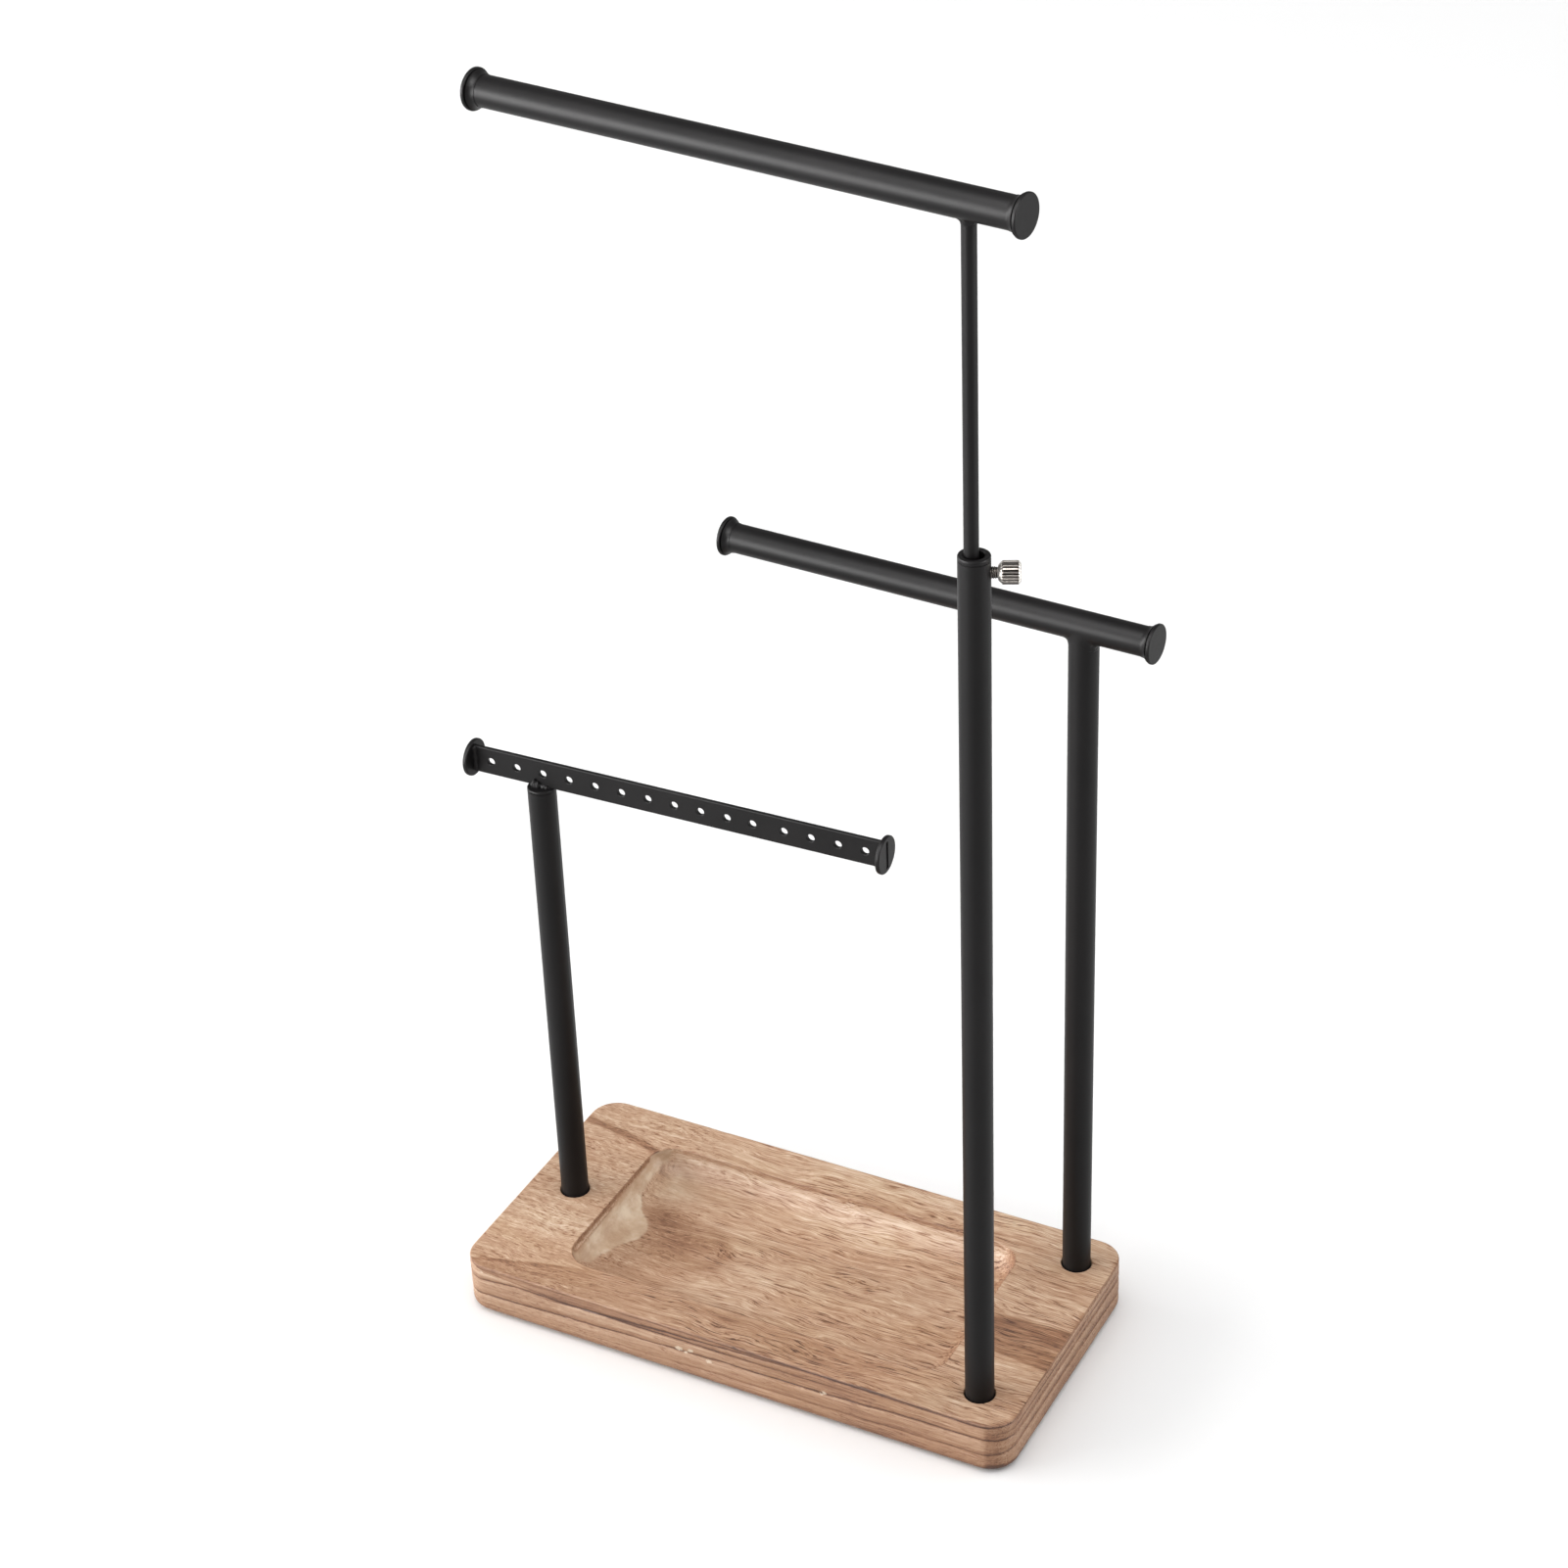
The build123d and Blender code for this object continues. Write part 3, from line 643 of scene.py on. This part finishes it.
    # layer lines of the sides: a soft darkening that ends in a hard line, pale wood right under it
    jit = m.mul(m.sub(m.noise(m.comb(m.mul(around, 0.30), m.mul(depth, 0.5), 0.0), 1.0, 3.0, 0.65), 0.5), 0.55)
    total = None
    for w, a in ((w0, a0), (w1, a1), (w2, a2), (w3, a3), (w4, a4)):
        u = m.step(m.add(w, jit), -4.0, 4.0, smooth=False)
        prof = m.ramp(u, [(0.0, 0.30), (0.22, 0.32), (0.40, 0.46), (0.462, 0.66), (0.49, 1.0), (0.512, 1.0), (0.54, 0.44),
                          (0.60, 0.17), (0.76, 0.25), (1.0, 0.30)])
        v = m.mul(m.sub(prof, 0.30), a)
        total = v if total is None else m.add(total, v)
    saw = m.sub(m.noise(m.comb(m.mul(around, 1.1), m.mul(depth, 0.20), 0.0), 1.0, 2.0, 0.6), 0.5)
    lay = m.sub(m.noise(m.comb(m.mul(around, 0.012), m.mul(m.add(w3, jit), 0.75), 3.0), 1.0, 3.0, 0.6), 0.5)
    lay2 = m.sub(m.noise(m.comb(m.mul(around, 0.022), m.mul(m.add(w3, m.mul(jit, 0.5)), 2.4), 9.0), 1.0, 2.0, 0.6), 0.5)
    sides = m.add(m.mul(total, 0.86), m.add(m.mul(saw, 0.06), m.add(m.mul(lay, 0.36), m.mul(lay2, 0.30))))
    right = m.mul(m.step(around, 216.0, 228.0), m.step(around, 322.0, 308.0))
    dark = m.add(dark, m.mul(m.mul(sides, side), m.add(m.mul(right, 0.5), 1.0)))

    # a thin brown line where the tray's rim breaks
    rim_x = m.math("MAXIMUM", m.sub(m.math("ABSOLUTE", px), 62.5), 0.0)
    rim_y = m.math("MAXIMUM", m.sub(m.math("ABSOLUTE", py), 26.0), 0.0)
    rim_d = m.sub(m.math("SQRT", m.add(m.mul(rim_x, rim_x), m.mul(rim_y, rim_y))), 10.1)
    rim = m.mul(m.step(m.math("ABSOLUTE", rim_d), 0.42, 0.12), m.step(depth, 2.6, 0.8))
    dark = m.add(dark, m.mul(rim, m.step(py, 30.0, 35.5, (0.22, 0.02))))
    # second line down the pale end
    end_x = m.add(m.add(px, 71.95), m.mul(m.step(py, -16.0, 18.0), 0.40))
    end_l = m.mul(m.step(m.math("ABSOLUTE", m.add(end_x, m.mul(rag, 0.06))), 0.26, 0.08), m.step(py, 30.0, 16.0))
    dark = m.add(dark, m.mul(m.mul(end_l, tray), 0.22))

    col = m.ramp(dark, [(0.0, WOOD_RAMP[0]), (0.15, WOOD_RAMP[1]), (0.32, WOOD_RAMP[2]), (0.50, WOOD_RAMP[3]),
                        (0.70, WOOD_RAMP[4]), (0.88, WOOD_RAMP[5]), (1.0, WOOD_RAMP[6])])
    # warm and cool drift
    drift = m.noise(m.scale(p, (0.016, 0.04, 0.04)), 1.0, 2.0, 0.5)
    col = m.mix(m.step(drift, 0.42, 0.62, (0.0, 0.40)), col, m.mix(1.0, col, (1.03, 0.965, 0.92), "MULTIPLY"))
    col = m.mix(m.step(m.noise(m.scale(p, (0.03, 0.07, 0.07)), 1.0, 1.0, 0.5, w=4.0), 0.5, 0.68, (0.0, 0.35)), col,
                m.mix(1.0, col, (0.985, 1.0, 0.93), "MULTIPLY"))
    # the left end of the tray: pale greyish end grain, with a painted sheen over it
    wob = m.mul(m.sub(m.noise(m.scale(p, (0.12, 0.16, 0.10)), 1.0, 3.0, 0.6), 0.5), 3.2)
    pale_m = m.mul(m.step(m.add(pale, wob), -0.5, 1.0), m.step(m.add(px, m.mul(m.step(py, -16.0, 18.0), 0.40)), -72.15, -71.75))
    cloud = m.noise(m.scale(p, (0.10, 0.10, 0.18)), 1.0, 3.0, 0.6)
    pale_c = m.ramp(m.step(cloud, 0.30, 0.70), [(0.0, WOOD_PALE[0]), (0.5, WOOD_PALE[1]), (1.0, WOOD_PALE[2])])
    col = m.mix(m.mul(polish, 0.75), col, pale_c)
    col = m.mix(m.mul(pale_m, 0.86), col, pale_c)
    # small pale chips along the front edge's layer lines
    chips = None
    for cx, cz, rad in ((-96.0, 18.2, 0.6), (-17.5, 12.4, 1.2), (-13.0, 12.9, 0.8), (-6.0, 10.6, 0.9), (-15.0, 11.6, 0.6),
                        (38.0, 13.3, 0.8), (37.0, 12.6, 0.5)):
        wobb = m.mul(m.sub(m.noise(p, 1.3, 2.0, 0.6), 0.5), 1.8)
        dd = m.add(m.vdist(m.scale(p, (0.8, 1.0, 1.15)), (cx * 0.8, -52.0, cz * 1.15)), wobb)
        one = m.step(dd, rad * 1.2, rad * 0.5)
        chips = one if chips is None else m.math("MAXIMUM", chips, one)
    col = m.mix(m.mul(chips, 0.8), col, WOOD_PALE[2])

    rough = m.step(body, 0.30, 0.72, (0.46, 0.62))
    rough = m.sub(rough, m.mul(pale_m, 0.17))
    hgt = m.sub(m.mul(hair, 0.45), m.mul(dash, 0.6))
    hgt = m.sub(hgt, m.mul(chips, 1.4))
    hgt = m.add(hgt, m.mul(m.mul(side, saw), 0.9))
    nrm = m.bump(m.mul(hgt, m.sub(1.0, m.mul(pale_m, 0.7))), 0.00010, 0.85)
    m.set(Base_Color=col, Roughness=rough, Normal=nrm)
    m.bsdf.inputs["Specular IOR Level"].default_value = 0.30
    m.bsdf.inputs["IOR"].default_value = 1.5
    return m.m


# ------------------------------------------------------------------ metal, rubber
def powder_coat():
    m = Mat("black_powder_coat")
    p = m.coord()
    grain = m.noise(p, 3.1, 3.0, 0.62)
    cell = m.voronoi(p, 2.3, "SMOOTH_F1")
    cloud = m.noise(m.scale(p, (0.035, 0.035, 0.022)), 1.0, 3.0, 0.55)
    dust = m.mul(m.step(m.noise(p, 5.5, 1.0, 0.5), 0.69, 0.76), m.step(cloud, 0.42, 0.66))
    col = m.mix(m.step(cloud, 0.32, 0.70), (0.0034, 0.0029, 0.0031), (0.0058, 0.0049, 0.0052))
    col = m.mix(m.mul(dust, 0.25), col, (0.045, 0.043, 0.041))
    rough = m.add(m.step(grain, 0.25, 0.75, (0.40, 0.48)), m.mul(m.sub(cloud, 0.5), 0.07))
    hgt = m.add(m.mul(grain, 0.6), m.mul(cell, 0.5))
    nrm = m.bump(hgt, 0.000035, 0.55)
    m.set(Base_Color=col, Roughness=rough, Normal=nrm)
    m.bsdf.inputs["Specular IOR Level"].default_value = 0.155
    return m.m


def nickel():
    m = Mat("nickel_plate")
    p = m.coord()
    g, bev, _ = m.attr("turned")        # 0 in the knurl's grooves, 1 on its crests; 1 on the turned bevels
    cloud = m.noise(p, 0.9, 3.0, 0.6)
    scratch = m.noise(m.scale(p, (2.0, 2.0, 14.0)), 1.0, 2.0, 0.6)
    # painted shade: the knurl is coloured far darker than the nickel bevels, near black in its grooves and in the
    # thread's roots
    col = m.mix(m.step(g, 0.12, 0.90), (0.010, 0.008, 0.007), (0.150, 0.138, 0.128))
    col = m.mix(m.step(cloud, 0.42, 0.70, (0.0, 0.45)), col, (0.055, 0.046, 0.038))
    col = m.mix(bev, col, (0.62, 0.59, 0.55))
    rough = m.add(m.step(g, 0.0, 0.9, (0.48, 0.36)), m.mul(m.sub(scratch, 0.5), 0.12))
    nrm = m.bump(scratch, 0.000012, 0.6)
    m.set(Base_Color=col, Roughness=rough, Normal=nrm, Metallic=1.0)
    return m.m


def zinc():
    m = Mat("zinc_plated_steel")
    p = m.coord()
    cloud = m.noise(p, 0.6, 3.0, 0.6)
    fine = m.noise(p, 4.5, 2.0, 0.6)
    col = m.mix(m.step(cloud, 0.35, 0.7), (0.52, 0.53, 0.54), (0.66, 0.65, 0.60))
    rough = m.step(fine, 0.3, 0.7, (0.26, 0.42))
    m.set(Base_Color=col, Roughness=rough, Normal=m.bump(fine, 0.00002, 0.5), Metallic=1.0)
    return m.m


def foam():
    m = Mat("black_foam_rubber")
    p = m.coord()
    cell = m.voronoi(p, 2.2, "F1")
    fine = m.noise(p, 3.0, 3.0, 0.6)
    col = m.mix(m.step(fine, 0.35, 0.7), (0.022, 0.022, 0.023), (0.040, 0.039, 0.038))
    rough = m.step(fine, 0.3, 0.7, (0.80, 0.95))
    m.set(Base_Color=col, Roughness=rough, Normal=m.bump(m.add(cell, m.mul(fine, 0.5)), 0.00012, 0.8))
    return m.m


def dress(ob, mat):
    ob.data.materials.clear()
    ob.data.materials.append(mat)


WOOD, COAT, NICKEL, ZINC, FOAM = wood_material(), powder_coat(), nickel(), zinc(), foam()

board = build_board()
dress(board, WOOD)
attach(board, "stand")
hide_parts("base_board")


# ------------------------------------------------------------------ welds
def closed_ring(name, sections, sharp=None):
    """Closed tube of equal sections (n, k, 3) whose last section meets the first."""
    n, k = sections.shape[:2]
    return new_object(name, sections.reshape(-1, 3), grid_faces(k, n, True, True), True, sharp)


def bar_weld(name, x0, y0, z0, yaw, r_post, r_bar, low, high, seed, drop=0.0):
    """Fillet where a vertical post or rod meets the underside of a horizontal bar."""
    nt, ns = 144, 14
    rows = []
    th = np.linspace(0, 2 * math.pi, nt, endpoint=False)
    q = np.stack([np.cos(th) * 1.6, np.sin(th) * 1.6, th * 0], 1)
    lump = fbm(q * 1.4, seed, 2)
    ripple = fbm(q * 5.0, seed + 5, 2)
    for i, t in enumerate(th):
        c, s = math.cos(t), math.sin(t)
        y = r_post * s
        yb = max(-r_bar, min(r_bar, y))
        phi = math.asin(yb / r_bar)
        corner = np.array([r_post * c, y, -r_bar * math.cos(phi)])
        k = 1 + 0.30 * lump[i]
        side = abs(s) ** 3 if r_post > 0.9 * r_bar else 0.0
        lo = low * k * (1 + 0.6 * side)
        hi = high * k * (1 - 0.55 * side)
        p_lo = corner + np.array([0, 0, -lo])
        ph = phi + hi * s / r_bar
        p_hi = np.array([(r_post + hi) * c, r_bar * math.sin(ph), -r_bar * math.cos(ph)])
        a, b = 0.62, 0.62
        c1 = p_lo + (corner - p_lo) * a
        c2 = p_hi + (corner - p_hi) * b
        out = corner - np.array([0, 0, -r_bar]) * 0
        u = np.linspace(0, 1, ns)[:, None]
        curve = ((1 - u) ** 3 * p_lo + 3 * (1 - u) ** 2 * u * c1 + 3 * (1 - u) * u ** 2 * c2 + u ** 3 * p_hi)
        push = np.array([c, s * (1 - side), -0.85])
        push /= np.linalg.norm(push)
        bulge = np.sin(np.pi * u) * (0.05 + 0.10 * ripple[i] + 0.05 * np.sin(9 * u + 5 * lump[i]))
        curve = curve + push * bulge
        # step just under both skins at the borders, so that the fillet feathers out
        inward = np.array([-c, -s, 0])
        curve[0] += inward * 0.03
        n_hi = np.array([0, math.sin(ph), -math.cos(ph)])
        curve[-1] -= n_hi * 0.03
        inner = corner + inward * 0.25 + np.array([0, 0, 0.15])
        pl2 = p_lo + inward * 0.25
        ph2 = p_hi - n_hi * 0.25
        rows.append(np.vstack([curve, ph2, inner, pl2]))
    sec = np.array(rows)
    ca, sa = math.cos(math.radians(yaw)), math.sin(math.radians(yaw))
    X = sec[..., 0] * ca - sec[..., 1] * sa + x0
    Y = sec[..., 0] * sa + sec[..., 1] * ca + y0
    Z = sec[..., 2] + z0
    return closed_ring(name, np.stack([X, Y, Z], -1))


HX, HY = math.cos(math.radians(24.5)), math.sin(math.radians(24.5))
ROD = (89.0 - 0.8 * HX, -37.5 - 0.8 * HY)

w = bar_weld("middle_bar_weld_fillet", 91.6, 37.5, 274.5, -3.7, 4.9, 4.9, 2.4, 2.0, 5)
dress(w, COAT)
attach(w, "stand")
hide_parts("middle_bar_weld")

w = bar_weld("top_bar_weld_fillet", ROD[0], ROD[1], 443.0, -7.5, 2.25, 4.9, 1.65, 1.35, 8)
dress(w, COAT)
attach(w, "top_bar")
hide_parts("top_bar_weld")


def bead(name, seed, x_lo, x_hi, lumps, side):
    """Weld bead along the foot of the flat bar, on one side of it; local frame of the flat bar."""
    n, k = 90, 12
    xs = np.linspace(x_lo, x_hi, n)
    ends = np.clip(np.minimum(xs - x_lo, x_hi - xs) / 0.7, 0, 1)
    ends = np.sqrt(1 - (1 - ends) ** 2)
    h = 0.45 + sum(a * np.exp(-((xs - c) / w) ** 2) for c, a, w in lumps)
    wd = 0.55 + sum(0.72 * a * np.exp(-((xs - c) / w) ** 2) for c, a, w in lumps)
    jig = fbm(np.stack([xs * 1.3, xs * 0, xs * 0], 1), seed, 3)
    h, wd = h * (1 + 0.25 * jig) * ends + 0.03, wd * (1 - 0.2 * jig) * ends + 0.03
    rows = []
    for x, hh, ww in zip(xs, h, wd):
        # stay over the round top of the post
        lim = math.sqrt(max(4.5 ** 2 - x * x, 0.4)) - 0.75
        ww = min(ww, lim)
        t = np.linspace(0, math.pi / 2, k - 2)
        yy = 0.75 - 0.05 + (ww + 0.05) * np.sin(t) ** 0.85
        zz = (hh) * np.cos(t) ** 0.85 - 0.02
        sec = [(x, yy_, zz_) for yy_, zz_ in zip(yy, zz)]
        sec += [(x, 0.75 + ww * 0.7, -0.12), (x, 0.62, -0.12)]
        rows.append(sec)
    sec = np.array(rows)
    q = sec.reshape(-1, 3)
    q = q + 0.05 * np.stack([fbm(q * 1.7, seed + 1, 2), fbm(q * 1.7, seed + 2, 2), fbm(q * 1.7, seed + 3, 2) * (q[:, 2] > 0.1)], 1)
    q[:, 1] *= side
    k2 = sec.shape[1]
    fs = grid_faces(k2, n, True, False)
    fs.append(tuple(range(k2))[::-1])
    fs.append(tuple((n - 1) * k2 + i for i in range(k2)))
    ca, sa = math.cos(math.radians(0.9)), math.sin(math.radians(0.9))
    P = np.stack([q[:, 0] * ca - q[:, 1] * sa - 88.0, q[:, 0] * sa + q[:, 1] * ca, q[:, 2] + 192.0], 1)
    return P, fs


def join(name, parts, sharp=None):
    vs, fs, off = [], [], 0
    for P, f in parts:
        vs.append(P)
        fs += [tuple(i + off for i in q) for q in f]
        off += len(P)
    return new_object(name, np.concatenate(vs), fs, True, sharp)


w = join("earring_bar_weld_beads", [
    bead("f", 3, -4.0, 4.0, ((-2.1, 1.95, 1.15), (-0.4, 1.25, 0.9), (1.3, 0.5, 0.7), (2.7, 0.7, 0.6)), -1),
    bead("b", 13, -3.7, 3.8, ((-1.9, 0.6, 1.0), (1.2, 0.9, 1.3)), 1)], 60)
dress(w, COAT)
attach(w, "stand")
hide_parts("earring_bar_weld")


def disc_fillets():
    parts = []
    for xi, sx in ((-26.5 + 1.5, 1), (127.5 - 1.5, -1)):
        for sy in (-1, 1):
            n, k = 40, 9
            zs = np.linspace(-4.7, 4.7, n)
            rows = []
            for j, z in enumerate(zs):
                e = min(1.0, (4.7 - abs(z)) / 0.6)
                e = math.sqrt(max(1 - (1 - e) ** 2, 0.0))
                r = (1.15 + 0.18 * math.sin(z * 2.1 + xi)) * e + 0.05
                u = np.linspace(0, 1, k)[:, None]
                a = np.array([xi + sx * r, sy * 0.72, z])
                c = np.array([xi, sy * 0.75, z])
                b = np.array([xi - sx * 0.03, sy * (0.75 + r), z])
                cur = (1 - u) ** 3 * a + 3 * (1 - u) ** 2 * u * (a + (c - a) * 0.62) + 3 * (1 - u) * u ** 2 * (
                    b + (c - b) * 0.62) + u ** 3 * b
                back = np.array([[xi - sx * 0.2, sy * (0.75 + r), z], [xi - sx * 0.2, sy * 0.5, z],
                                 [xi + sx * r, sy * 0.5, z]])
                rows.append(np.vstack([cur, back]))
            sec = np.array(rows)
            kk = sec.shape[1]
            q = sec.reshape(-1, 3)
            fs = grid_faces(kk, n, True, False)
            fs.append(tuple(range(kk))[::-1])
            fs.append(tuple((n - 1) * kk + i for i in range(kk)))
            ca, sa = math.cos(math.radians(0.9)), math.sin(math.radians(0.9))
            parts.append((np.stack([q[:, 0] * ca - q[:, 1] * sa - 88.0, q[:, 0] * sa + q[:, 1] * ca, q[:, 2] + 197.0], 1), fs))
    return parts


w = join("earring_disc_weld_fillets", disc_fillets(), 60)
dress(w, COAT)
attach(w, "stand")
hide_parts("earring_disc_welds")


# ------------------------------------------------------------------ thumbscrew
def screw_place(P):
    """From the screw's own frame (x out along the screw) to the row frame."""
    x, y, z = P[:, 0], P[:, 1], P[:, 2]
    return np.stack([89.0 + x * HX - y * HY, -37.5 + x * HY + y * HX, 330.1 + z], 1)


def thumb_head():
    teeth, per = 20, 14
    nu = teeth * per
    th = np.linspace(0, 2 * math.pi, nu, endpoint=False)
    saw = (th * teeth / (2 * math.pi)) % 1.0
    prof = 1 - np.abs(saw * 2 - 1)                       # 0 in the groove, 1 on the crest
    prof = np.clip(prof * 1.7, 0, 1)
    prof = prof * prof * (3 - 2 * prof)
    cut = 1 + 0.28 * vnoise(np.stack([np.round(th * teeth / (2 * math.pi)) * 0.73, th * 0, th * 0], 1), 9)
    R, dep = 3.5, 0.50
    st = [(6.75, 0.0, 1), (6.75, 1.85, 1), (6.77, 2.15, 1), (6.86, 2.32, 1), (7.15, 2.60, 1), (7.50, 2.94, 1),
          (7.76, 3.17, 1), (7.90, 3.29, 0.55), (8.03, 3.40, 0.15), (8.15, 3.48, 0.0), (8.28, R, 0.0)]
    st += [(x, R, 0.0) for x in np.linspace(8.6, 12.35, 12)]
    st += [(12.60, R - 0.02, 0.0), (12.73, R - 0.10, 0.1), (12.87, R - 0.24, 0.35), (13.05, R - 0.44, 0.8), (13.25, R - 0.70, 1),
           (13.38, R - 0.92, 1), (13.45, R - 1.15, 1), (13.45, 2.1, 1), (13.38, 1.95, 1), (13.27, 1.8, 1), (13.23, 1.2, 1),
           (13.21, 0.6, 1), (13.20, 0.0, 1)]
    rows, crest = [], []
    for x, r, even in st:
        rr = r - dep * cut * (1 - prof) * (1 - even)
        if r <= 0:
            rr = np.zeros(nu) + 1e-4
        rows.append(np.stack([np.full(nu, x), rr * np.cos(th), rr * np.sin(th)], 1))
        crest.append(np.maximum(prof, even))
    P = np.concatenate(rows)
    fs = grid_faces(nu, len(st))
    ob = new_object("thumbscrew_knurled_head", screw_place(P), fs, True, 50)
    p = points_mm(ob)
    d = p - np.array([89.0, -37.5, 330.1])
    ax = d[:, 0] * HX + d[:, 1] * HY
    rad = np.sqrt(np.maximum((d ** 2).sum(1) - ax ** 2, 0))
    env = np.interp(ax, [s[0] for s in st[1:34]], [s[1] for s in st[1:34]])
    cr = np.clip(1 - (env - rad) / dep, 0, 1)
    bev = np.maximum(sstep(ax, 12.66, 12.74), 1 - sstep(ax, 7.80, 7.92))
    cr = np.maximum(cr, bev)
    # crest mask that the nickel uses to paint shade into the knurl's grooves
    add_vec(ob, "turned", [cr, bev, cr])
    return ob


def thumb_shank():
    nu, pitch, tip, end = 48, 0.6, 1.5, 6.77
    xs = np.arange(tip, end + 0.001, 0.06)
    th = np.linspace(0, 2 * math.pi, nu, endpoint=False)
    rows, cr = [], []
    for x in xs:
        ph = ((x / pitch) - th / (2 * math.pi)) % 1.0
        tri = 1 - np.abs(ph * 2 - 1)
        tri = np.clip(tri * 1.35 - 0.1, 0, 1)
        r = 1.58 + 0.22 * tri
        lead = min(1.0, (x - tip) / 0.5)
        r = np.minimum(r, 1.25 + 0.55 * lead)
        if x > 6.15:
            r = np.minimum(r, 1.62)
        rows.append(np.stack([np.full(nu, x), r * np.cos(th), r * np.sin(th)], 1))
        cr.append(0.25 + 0.75 * tri)
    P = np.concatenate(rows)
    fs = grid_faces(nu, len(xs))
    fs.append(tuple(range(nu))[::-1])
    fs.append(tuple((len(xs) - 1) * nu + i for i in range(nu)))
    ob = new_object("thumbscrew_threaded_shank", screw_place(P), fs, True, 70)
    p = points_mm(ob)
    d = p - np.array([89.0, -37.5, 330.1])
    ax = d[:, 0] * HX + d[:, 1] * HY
    rad = np.sqrt(np.maximum((d ** 2).sum(1) - ax ** 2, 0))
    c = np.clip((rad - 1.55) / 0.25, 0, 1)
    # the same mask on the thread paints shade into its roots
    add_vec(ob, "turned", [c, c * 0, c])
    return ob


o = thumb_head()
dress(o, NICKEL)
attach(o, "thumbscrew_head")
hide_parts("thumbscrew_head")
o = thumb_shank()
dress(o, NICKEL)
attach(o, "thumbscrew")
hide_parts("thumbscrew_shank")


# ------------------------------------------------------------------ pads under the base
def pads():
    parts = []
    for sx in (-1, 1):
        for sy in (-1, 1):
            nu = 72
            th = np.linspace(0, 2 * math.pi, nu, endpoint=False)
            st = [(0.0, 0.0), (2.0, 0.0), (4.4, 0.0), (5.2, 0.02), (5.62, 0.12), (5.85, 0.30), (5.97, 0.52), (6.0, 0.75),
                  (5.98, 0.98), (4.0, 1.0), (0.0, 1.0)]
            rows = []
            for r, z in st:
                r = max(r, 1e-4)
                rows.append(np.stack([sx * 72 + r * np.cos(th), sy * 42 + r * np.sin(th), np.full(nu, z)], 1))
            parts.append((np.concatenate(rows), grid_faces(nu, len(st))))
    return parts


o = join("anti_slip_foam_pads", pads(), 45)
dress(o, FOAM)
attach(o, "stand")
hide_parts("anti_slip_pads")

# ------------------------------------------------------------------ finishes of the CAD pieces that stay
KEEP = {
    "tall_post_tube": COAT, "tall_post_bushing": COAT, "back_post_tube": COAT, "earring_post_tube": COAT,
    "earring_post_plug": COAT, "middle_bar_tube": COAT, "middle_bar_cap_left": COAT, "middle_bar_cap_right": COAT,
    "earring_bar_strip": COAT, "earring_bar_disc_left": COAT, "earring_bar_disc_right": COAT,
    "riser_rod": COAT, "top_bar_tube": COAT, "top_bar_cap_left": COAT, "top_bar_cap_right": COAT,
    "post_foot_inserts": ZINC, "post_screws": ZINC, "post_washers": ZINC,
}
for node, mat in KEEP.items():
    dress(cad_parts[node], mat)

# ------------------------------------------------------------------ floor, light
floor = new_object("floor", [(-4000, -4000, 0), (4000, -4000, 0), (4000, 4000, 0), (-4000, 4000, 0)], [(0, 1, 2, 3)])
fm = Mat("floor")
fm.set(Base_Color=(0.90, 0.90, 0.90, 1.0), Roughness=0.9)
fm.bsdf.inputs["Specular IOR Level"].default_value = 0.0
dress(floor, fm.m)

world = bpy.data.worlds.new("world")
world.use_nodes = True
bg = world.node_tree.nodes["Background"]
bg.inputs[0].default_value = (1.0, 1.0, 1.0, 1.0)
bg.inputs[1].default_value = 0.38
bpy.context.scene.world = world


def softbox(name, azimuth, elevation, dist, w, h, radiance, tint=(1, 1, 1), aim=(0, 0, 0.2)):
    """Rectangular soft light; azimuth as the camera's, seen from the object."""
    a, e = math.radians(azimuth), math.radians(elevation)
    d = Vector((math.sin(a) * math.cos(e), -math.cos(a) * math.cos(e), math.sin(e)))
    li = bpy.data.lights.new(name, "AREA")
    li.shape = "RECTANGLE"
    li.size, li.size_y = w, h
    li.energy = radiance * math.pi * w * h
    li.color = tint
    ob = bpy.data.objects.new(name, li)
    bpy.context.scene.collection.objects.link(ob)
    ob.location = Vector(aim) + d * dist
    ob.rotation_mode = "QUATERNION"
    ob.rotation_quaternion = d.to_track_quat("Z", "Y")
    ob.visible_camera = False
    return ob


softbox("key", -68, 15, 3.4, 3.6, 1.2, 8.0)
softbox("back_fill", 128, 26, 3.8, 2.2, 1.6, 1.9)
softbox("top", 20, 76, 1.9, 1.5, 1.5, 1.7)
# reflectors that only show in the metal's sheen
softbox("sheen_left", -70, 14, 1.7, 1.6, 0.6, 8.0).visible_diffuse = False
softbox("sheen_front", -34, 7, 1.7, 1.2, 0.9, 17.0).visible_diffuse = False
softbox("sheen_top", 0, 62, 1.8, 1.5, 1.0, 14.0).visible_diffuse = False
softbox("sheen_right", 96, 8, 1.8, 0.9, 0.8, 14.0).visible_diffuse = False
# wide overhead light that keeps the floor pale all round
softbox("overhead", 0, 90, 3.6, 15.0, 15.0, 0.46, aim=(0, 0, 0.4)).visible_glossy = False

scene = bpy.context.scene
scene.view_settings.view_transform = "Standard"
scene.view_settings.look = "None"
scene.view_settings.exposure = 0.0
scene.view_settings.gamma = 1.0

bpy.context.view_layer.update()
